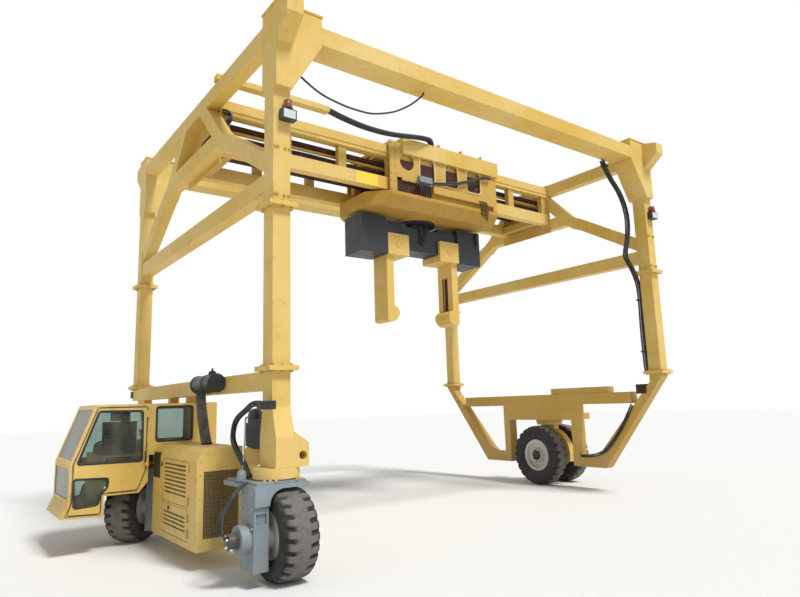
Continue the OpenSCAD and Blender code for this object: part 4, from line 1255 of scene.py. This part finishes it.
@dataclass
class Grab:
    """Hoses, rings and slot linings on the turning grab."""

    middle_y: float = -440.0
    beam_x: float = 190.0
    disc_low_z: float = 4770.0
    sleeve_x: float = 255.0
    sleeve_y: float = 575.0
    sleeve_z: float = 4335.0
    arm_y: float = 655.0
    slot_z: tuple[float, float] = (3272.0, 3888.0)
    ring: Profile = ((0.040, 0.0), (0.052, 0.0), (0.052, 0.008), (0.040, 0.008))
    loop_ends: Profile = ((85, -60), (70, -80), (40, -50), (-30, 60), (-60, 80), (-85, 40))

    def hoses(self) -> None:
        """Hangs thin loops from the turning disc over the beam's rear face, each between its own two ends."""
        mid, x = self.middle_y, -self.beam_x - 30
        loops = [[(-150, mid + a, self.disc_low_z), (x, mid + a - 10, 4740 - 4 * k),
                  (x - 12, mid + a * 0.4, 4560 - 26 * k), (x, mid + b, 4520 - 14 * k),
                  (-self.beam_x - 6, mid + b - 30, 4560)] for k, (a, b) in enumerate(self.loop_ends)]
        fit(pipes("beam_hoses", loops, 9.0), "grab", Finish.HOSE)

    def rings(self) -> None:
        """Presses a raised ring into the front and rear face of each sleeve."""
        for side, arm in ((-1, "right"), (1, "left")):
            for face, tag in ((-1, "rear"), (1, "front")):
                seat = at(face * self.sleeve_x, self.middle_y + side * self.sleeve_y, self.sleeve_z)
                ring = lathe(f"sleeve_ring_{arm}_{tag}", self.ring, seat, (face, 0, 0), 36)
                fit(ring, "grab_arm_" + arm, Finish.CREAM)

    def slots(self) -> None:
        """Lines the slot of each arm with rusty steel, whose darkness also paints the shade in the slot, and
        lays rusty wear strips beside it.
        """
        low, high = self.slot_z
        for side, arm in ((-1, "right"), (1, "left")):
            face = self.middle_y + side * self.arm_y
            # the rusty lining at the slot's bottom is rust, and painted shade in the slot
            spans = [(-44, face + side * 36, low, 44, face + side * 40, high)]
            inner, outer = face - side * 3, face + side * 1
            spans += [(x - 12, inner, low - 10, x + 12, outer, high + 10) for x in (-58, 58)]
            fit(slabs("slot_lining_shade_and_wear_" + arm, spans, 0.001), "grab_arm_" + arm, Finish.RUST_AND_SHADE)

    def build(self) -> None:
        """Builds the grab's fittings."""
        self.slots()
        self.hoses()
        self.rings()


# Cab and engine pod


@dataclass
class Cab:
    """Window rubbers, seat cushions, controls and handle of the driver's cab.

    Outlines are pairs of Y and Z in millimetres; blocks go from a low to a high corner.
    """

    rear_x: float = -191.0
    window_x: float = -181.0
    front_x: float = 900.0
    door_window: Profile = ((4190, 1655), (4180, 1045), (4905, 1055), (4690, 1665))
    low_window: Profile = ((4560, 870), (4565, 760), (4640, 700), (4662, 575), (4920, 560), (4935, 885))
    rear_window: Profile = ((3563, 1700), (3563, 1273), (4017, 1273), (4017, 1700))
    front_window: Profile = ((3330, 1690), (3330, 1250), (4090, 1250), (4090, 1690))
    door_edge: Profile = ((4137, 1703), (4137, 934), (4224, 702), (4634, 702), (4634, 470), (4992, 486),
                          (4943, 610), (4943, 1048), (4703, 1703))
    cushion_span: Span = (60, 4190, 1150, 520, 4610, 1255)
    back_span: Span = (0, 4200, 1180, 110, 4600, 1530)
    headrest_span: Span = (20, 4290, 1540, 100, 4510, 1690)
    base_spans: tuple[Span, ...] = ((110, 4240, 1000, 480, 4560, 1132), (70, 4200, 1132, 515, 4600, 1152))
    post_y: tuple[float, float] = (4350.0, 4450.0)
    console: Span = (120, 3960, 1000, 560, 4130, 1250)
    wheel_hub: Spot = (646, 4400, 1200)
    wheel_tilt: Spot = (-0.42, 0, 0.91)
    column: Route = ((800, 4400, 830), (740, 4400, 980), (690, 4400, 1100), (650, 4400, 1190))
    boss: Profile = ((0.0005, -0.012), (0.05, -0.012), (0.055, 0.004), (0.03, 0.014), (0.0005, 0.016))
    spoke_ways: Profile = ((-1, 0), (0.5, 0.87), (0.5, -0.87))
    handle_bow: Route = ((-190, 4150, 1030), (-225, 4150, 1036), (-232, 4150, 1090), (-225, 4150, 1144),
                         (-190, 4150, 1150))

    def cushion(self, name: str, block: Span, crown_axis: int, ribs: int, count: int = 40) -> None:
        """Makes one sewn cushion: a rounded block whose face swells by a cosine and sinks at each seam.

        Args:
            name: the cushion's name.
            block: its low and its high corner in millimetres.
            crown_axis: 0 where the cushion faces along X, 2 where it faces up.
            ribs: padded rolls between seams.
            count: points along each side of the face.
        """
        low, high = np.asarray(block, dtype=float).reshape(2, 3)
        u, v = np.meshgrid(np.linspace(0, 1, count), np.linspace(0, 1, count), indexing="ij")
        edge = ramp(np.minimum(np.minimum(u, 1 - u), np.minimum(v, 1 - v)), 0, 0.16)
        swell = np.sqrt(1 - (1 - edge) ** 2)
        seam = 1 - 0.3 * np.abs(np.cos(math.pi * ribs * v)) ** 8 * ramp(edge, 0.4, 0.6)
        thick = 0.38 + 0.62 * swell * seam
        span = high - low
        if crown_axis == 2:
            top = np.stack([low[0] + span[0] * v, low[1] + span[1] * u, low[2] + span[2] * thick], axis=-1)
            bottom = np.stack([low[0] + span[0] * v, low[1] + span[1] * u, np.full_like(u, low[2])], axis=-1)
        else:
            middle, bulge = low[0] + span[0] / 2, span[0] / 2 * thick
            top = np.stack([middle + bulge, low[1] + span[1] * u, low[2] + span[2] * v], axis=-1)
            bottom = np.stack([middle - bulge, low[1] + span[1] * u, low[2] + span[2] * v], axis=-1)
        points = np.vstack([top.reshape(-1, 3), bottom.reshape(-1, 3)])
        quads = grid_faces(count, count, False, False)
        border = list(range(count)) + [k * count + count - 1 for k in range(1, count)]
        border += [count * (count - 1) + k for k in range(count - 2, -1, -1)]
        border += [k * count for k in range(count - 2, 0, -1)]
        under = count * count
        faces = quads + [[a + under for a in reversed(q)] for q in quads]
        pairs = [(border[k - 1], border[k]) for k in range(len(border))]
        faces += [[a, b, b + under, a + under] for a, b in pairs]
        piece = outward(make_object(name, places(points), faces, Shade.SOFT))
        fit(piece, "frame", Finish.SEAT)
        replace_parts(piece, "driver_seat")

    def seat(self) -> None:
        """Builds the driver's seat: two cushions, a headrest, its posts and its base."""
        self.cushion("seat_cushion", self.cushion_span, 2, 4)
        self.cushion("seat_back", self.back_span, 0, 9)
        self.cushion("seat_headrest", self.headrest_span, 0, 2)
        base = fit(slabs("seat_base", self.base_spans, 0.01), "frame", Finish.DARK)
        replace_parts(base, "driver_seat")
        posts = [[(60, y, z) for z in (1520, 1530, 1545, 1560)] for y in self.post_y]
        rods = fit(pipes("headrest_posts", posts, 7.0, 6), "frame", Finish.ZINC)
        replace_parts(rods, "driver_seat")

    def rubbers(self) -> None:
        """Lays a rubber strip round each window and along the door's edge."""
        frames = (
            ("door_window_rubber", self.door_window, self.rear_x, "cab_door"),
            ("low_window_rubber", self.low_window, self.rear_x, "cab_door"),
            ("rear_window_rubber", self.rear_window, self.window_x, "frame"),
            ("front_window_rubber", self.front_window, self.front_x, "frame"),
            ("front_side_rubber", self.door_window, self.front_x, "frame"),
            ("front_low_rubber", self.low_window, self.front_x, "frame"),
        )
        for name, corners, x, body in frames:
            ring = [(x, y, z) for y, z in corners]
            strip = outline_band(name, ring, (1 if x > 0 else -1, 0, 0), 26, 7, 34)
            fit(strip, body, Finish.GASKET)
        seal = [(self.rear_x + 4, y, z) for y, z in self.door_edge]
        fit(outline_band("door_seal", seal, (-1, 0, 0), 12, 5, 40), "cab_door", Finish.GASKET)

    def levers(self) -> None:
        """Stands the console with its three levers and their knobs beside the seat."""
        fit(slabs("control_console", [self.console], 0.02), "frame", Finish.DARK)
        rods = [[(300 + 60 * k, 4045, 1245), (304 + 60 * k, 4050, 1300), (312 + 60 * k, 4058, 1350),
                 (316 + 60 * k, 4062, 1380)] for k in range(3)]
        fit(pipes("control_levers", rods, 7.0, 12), "frame", Finish.ZINC)
        tips = [rod[-1] for rod in rods]
        knobs = [[(x, y, z), (x, y, z + 10), (x, y, z + 20), (x, y, z + 32)] for x, y, z in tips]
        fit(pipes("control_knobs", knobs, 16.0, 8, 14), "frame", Finish.DARK)

    def steering(self) -> None:
        """Slants the steering column in front of the seat and puts the wheel on it."""
        fit(pipes("steering_column", [self.column], 24.0, 12, 16), "frame", Finish.DARK)
        turn = np.linspace(0, 2 * math.pi, 12, endpoint=False)
        rim = [(0.165 + 0.013 * math.cos(a), 0.013 * math.sin(a)) for a in turn]
        hub = at(*self.wheel_hub)
        wheel = lathe("steering_wheel", rim, hub, self.wheel_tilt, 48, Shade.SOFT)
        fit(wheel, "frame", Finish.DARK)
        boss = lathe("steering_boss", self.boss, hub, self.wheel_tilt, 32, Shade.SOFT)
        fit(boss, "frame", Finish.DARK)
        x, y, z = self.wheel_hub
        low = z - 2
        spokes = [[(x, y, low), (x + 50 * a, y + 50 * b, low + 23 * a),
                   (x + 100 * a, y + 100 * b, low + 46 * a), (x + 150 * a, y + 163 * b, low + 69 * a)]
                  for a, b in self.spoke_ways]
        fit(pipes("steering_spokes", spokes, 9.0, 8), "frame", Finish.DARK)

    def handle(self) -> None:
        """Bows the grab handle on the door."""
        fit(pipes("door_handle", [self.handle_bow], 8.0, 24), "cab_door", Finish.DARK)

    def build(self) -> None:
        """Builds the cab's fittings."""
        self.seat()
        self.rubbers()
        self.levers()
        self.steering()
        self.handle()


@dataclass
class Pod:
    """Latches, screws, louvre slats, dark panel and intake duct of the engine pod."""

    skin_y: float = 4039.0
    rear_x: float = -1800.0
    upper_latch: tuple[float, float] = (-567.0, 1015.0)
    lower_latch: tuple[float, float] = (-861.0, 545.0)
    slat_pitch: float = 13.0
    fin_pitch: float = 14.0
    dark_panel: Span = (-492, 4036, 846, -216, 4043, 1150)
    duct_route: Route = ((-960, 3725, 1880), (-960, 3725, 1756), (-1010, 3710, 1500), (-1090, 3690, 1246))
    duct_radius: float = 0.060
    rib_height: float = 0.004
    collar_radius: float = 0.066
    ribs: int = 26
    cleaner_y: float = 3725.0
    cleaner_z: float = 1946.0
    cap_spot: Spot = (-1330, 3725, 2044)
    cleaner_ring: Profile = ((0.1025, 0.0), (0.110, 0.004), (0.110, 0.034), (0.1025, 0.038))
    cap: Profile = ((0.0005, 0.0), (0.045, 0.0), (0.045, 0.03), (0.03, 0.045), (0.012, 0.052), (0.012, 0.075),
                    (0.0005, 0.078))

    def latches(self) -> None:
        """Adds a black latch to each of the two doors."""
        for name, body, (x, z) in (("latch_upper", "pod_door_upper", self.upper_latch),
                                   ("latch_lower", "pod_door_lower", self.lower_latch)):
            span = (x - 12, self.skin_y, z - 22, x + 12, self.skin_y + 14, z + 22)
            fit(slabs(name, [span], 0.003), body, Finish.DARK)

    def rivets(self) -> None:
        """Puts small dome screws along the pod's rear edge."""
        seats = [(self.rear_x, y, z) for y in (3560, 4005) for z in (240, 480, 720, 960, 1100)]
        screws = studs("pod_rear_screws", places(seats), (-1, 0, 0), 0.009, 0.005, 12)
        fit(screws, "frame", Finish.ZINC)

    def slats(self) -> None:
        """Sets fine slats behind the louvres and upright fins on the rear grille, coloured dark yellow-brown
        as painted shade in those recesses.
        """
        for name, body, low, high in (("upper_slats", "pod_door_upper", 706, 1044),
                                      ("lower_slats", "pod_door_lower", 346, 504)):
            spans = [(-1425, 4017, z, -705, 4030, z + 7) for z in np.arange(low, high, self.slat_pitch)]
            fit(slabs(name, spans, 0.0), body, Finish.LOUVRE_SHADE)
        rear = self.rear_x
        fins = [(rear - 6, y, 322, rear + 3, y + 5, 1000) for y in np.arange(3584, 3962, self.fin_pitch)]
        fit(slabs("rear_grille_fins", fins, 0.0), "frame", Finish.LOUVRE_SHADE)

    def panel(self) -> None:
        """Lays the dark panel on the front end of the pod's outer side."""
        fit(slabs("dark_panel", [self.dark_panel], 0.004), "frame", Finish.DARK)

    def duct(self) -> None:
        """Replaces the plain intake pipe by a ribbed duct, and bands and caps the air cleaner.

        The duct's radius is its mean radius and a cosine along it, one wave to a rib.
        """
        stations = 180
        path = rounded_route(places(self.duct_route), stations)
        wave = np.cos(np.linspace(0, 2 * math.pi * self.ribs, stations))
        radius = self.duct_radius + self.rib_height * wave
        radius[:3] = radius[-3:] = self.collar_radius
        duct = fit(tube("ribbed_duct", path, radius, 28), "frame", Finish.DUCT)
        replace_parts(duct, "intake_pipe")
        for tag, x in (("a", -1250), ("b", -900), ("c", -1478)):
            seat = at(x, self.cleaner_y, self.cleaner_z)
            ring = lathe("air_cleaner_band_" + tag, self.cleaner_ring, seat, (1, 0, 0), 64)
            fit(ring, "frame", Finish.DARK)
        cap = lathe("air_cleaner_cap", self.cap, at(*self.cap_spot), (0, 0, 1), 32)
        fit(cap, "frame", Finish.DARK)

    def build(self) -> None:
        """Builds the pod's fittings."""
        self.latches()
        self.rivets()
        self.slats()
        self.panel()
        self.duct()


# Forks and running gear


@dataclass
class Fork:
    """Bolts of one steered fork, with the motor, ports, hoses and accumulator where it is driven.

    Places are in the fork's own axes, which start on the steering axis and are turned by the heading.
    """

    tag: str
    origin: tuple[float, float]
    heading: float
    driven: bool = True
    ring_radius: float = 252.0
    plate_z: float = 950.0
    plate_back: float = -232.0
    plate_half: float = 226.0
    hub: Spot = (-70, 434, 435)
    motor: Profile = ((0.0005, 0.0), (0.082, 0.0), (0.082, 0.018), (0.066, 0.022), (0.066, 0.070),
                      (0.074, 0.074), (0.074, 0.092), (0.05, 0.10), (0.0005, 0.102))
    knob: Profile = ((0.0005, 0.0), (0.045, 0.0), (0.048, 0.05), (0.040, 0.085), (0.022, 0.10),
                     (0.0005, 0.102))
    knob_spot: Spot = (170, 290, 950)

    def spot(self, points: Route) -> list[Spot]:
        """Turns points from the fork's own millimetres into millimetres from the legs' middle."""
        c, s = math.cos(self.heading), math.sin(self.heading)
        return [(self.origin[0] + c * x - s * y, self.origin[1] + s * x + c * y, z) for x, y, z in points]

    def way(self, x: float, y: float, z: float) -> Spot:
        """Turns a direction from the fork's own axes into the frame's."""
        c, s = math.cos(self.heading), math.sin(self.heading)
        return (c * x - s * y, s * x + c * y, z)

    def bolts(self) -> None:
        """Rings the slewing plate with bolts, where it has room for them, and screws the column on."""
        body = "fork_" + self.tag
        radius, turn = self.ring_radius, np.linspace(0, 2 * math.pi, 28, endpoint=False)
        circle = [(radius * math.cos(a), radius * math.sin(a), self.plate_z) for a in turn]
        ring = [p for p in circle if p[0] > self.plate_back and abs(p[1]) < self.plate_half]
        heads = studs(self.tag + "_ring_bolts", places(self.spot(ring)), (0, 0, 1), 0.014, 0.016)
        fit(heads, body, Finish.CREAM)
        screws = places(self.spot([(x, 331, z) for x in (-190, 50) for z in (540, 705, 850)]))
        heads = studs(self.tag + "_column_bolts", screws, self.way(0, 1, 0), 0.013, 0.012)
        fit(heads, body, Finish.ZINC)

    def drive(self) -> None:
        """Puts the hub motor, its ports and hoses, and the accumulator on the fork."""
        body, out = "fork_" + self.tag, self.way(0, 1, 0)
        x, _, z = self.hub
        motor = lathe(self.tag + "_motor", self.motor, places(self.spot([self.hub]))[0], out, 40)
        fit(motor, body, Finish.BLACK)
        seats = [(x + 50 * math.cos(a), 536, z + 50 * math.sin(a)) for a in (0.4, 1.5, 2.6, 4.2)]
        ports = studs(self.tag + "_ports", places(self.spot(seats)), out, 0.014, 0.018)
        fit(ports, body, Finish.ZINC)
        loops = [[(-90 + 40 * k, 520, 470), (-110 + 60 * k, 585, 520), (-60 + 40 * k, 560, 660),
                  (-40 + 30 * k, 470, 800), (-30 + 30 * k, 400, 880), (-20 + 30 * k, 318, 940)]
                 for k in range(3)]
        hoses = pipes(self.tag + "_motor_hoses", [self.spot(loop) for loop in loops], 10.0, 40)
        fit(hoses, body, Finish.HOSE)
        seat = places(self.spot([self.knob_spot]))[0]
        knob = lathe(self.tag + "_accumulator", self.knob, seat, (0, 0, 1), 32, Shade.SOFT)
        fit(knob, body, Finish.GREY)

    def build(self) -> None:
        """Builds the fork's fittings."""
        self.bolts()
        if self.driven:
            self.drive()


@dataclass
class RunningGear:
    """All wheels, with treaded tyres in place of the plain ones. A size is radius, width and rim hole."""

    small: Spot = (435.0, 370.0, 225.2)
    large: Spot = (565.0, 300.0, 290.2)

    def one(self, tag: str, node_name: str, body: str, centre: Spot, axis: Spot, size: Spot) -> None:
        """Builds one wheel's tyre and rim.

        Args:
            tag: the pieces' first name.
            node_name: the frame's plain tyre.
            body: the wheel's body.
            centre: its centre in millimetres.
            axis: its axle's direction, outwards.
            size: radius, width and rim hole in millimetres.
        """
        radius, width, hole = (value * MM for value in size)
        hub, axle = at(*centre), np.array(axis)
        tyre = Tyre(tag + "_tread", hub, axle, radius, width, hole).build()
        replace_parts(fit(tyre, body, Finish.TYRE), node_name)
        Wheel(tag, body, hub, axle, width, hole).build()

    def build(self) -> None:
        """Builds the four wheels; the one under the cab stands at 45 degrees, as its fork does."""
        near, slant = (395.36, 4095.36, 435), (0.7071068, 0.7071068, 0)
        self.one("rear_left", "tyre_rear_left", "wheel_rear_left", (-2680, 3470, 435), (0, -1, 0), self.small)
        self.one("front_left", "tyre_front_left", "wheel_front_left", near, slant, self.small)
        self.one("twin_left", "twin_tyres", "twin_wheels", (0, -3400, 565), (0, 1, 0), self.large)
        self.one("twin_right", "twin_tyres", "twin_wheels", (0, -4080, 565), (0, -1, 0), self.large)


# The whole carrier

SLOT_COATS = {
    "yellow_paint": Finish.CREAM,
    "cab_glass": Finish.GLASS,
    "seat_black": Finish.SEAT,
    "black_paint": Finish.BLACK,
    "bare_steel": Finish.STEEL,
    "grey_paint": Finish.GREY,
    "rim_paint": Finish.RIM,
    "tyre_rubber": Finish.TYRE,
    "grab_paint": Finish.CREAM,
    "hose_rubber": Finish.HOSE,
}
# Darker coats for single nodes: partly dirt, partly painted shade on parts that lie in shadow.
NODE_COATS = {
    "trolley_deck": Finish.DECK,
    "trolley_sides": Finish.CREAM_GREASY_SHADED,
    "bridge_posts": Finish.CREAM_GREASY_SHADED,
    "bridge_ends": Finish.CREAM_GREASY_SHADED,
    "lower_frame_right": Finish.CREAM_GREASY_SHADED,
}


def coat_frame() -> None:
    """Coats every frame node in its slot's finish, or in its own darker coat where it is dirtier than the
    rest; on the trolley, the bridge's posts and ends and the right lower frame that darker coat also paints
    their shade.
    """
    for part in frame["record"]["subparts"]:
        name = part["node"]
        SHOP.coat(frame["nodes"][name], NODE_COATS.get(name, SLOT_COATS[part["material_slot"]]))


def main() -> None:
    """Builds the studio, coats the frame and adds each sub-assembly."""
    logging.basicConfig(level=logging.INFO, format="%(message)s")
    Studio().build()
    coat_frame()
    Hoses().build()
    Portal().build()
    Bridge().build()
    Trolley().build()
    Grab().build()
    Cab().build()
    Pod().build()
    Fork("rear_left", (-2610.0, 3520.0), 0.0).build()
    Fork("front_left", (360.0, 4060.0), math.radians(135), driven=False).build()
    RunningGear().build()


if __name__ == "__main__":
    main()
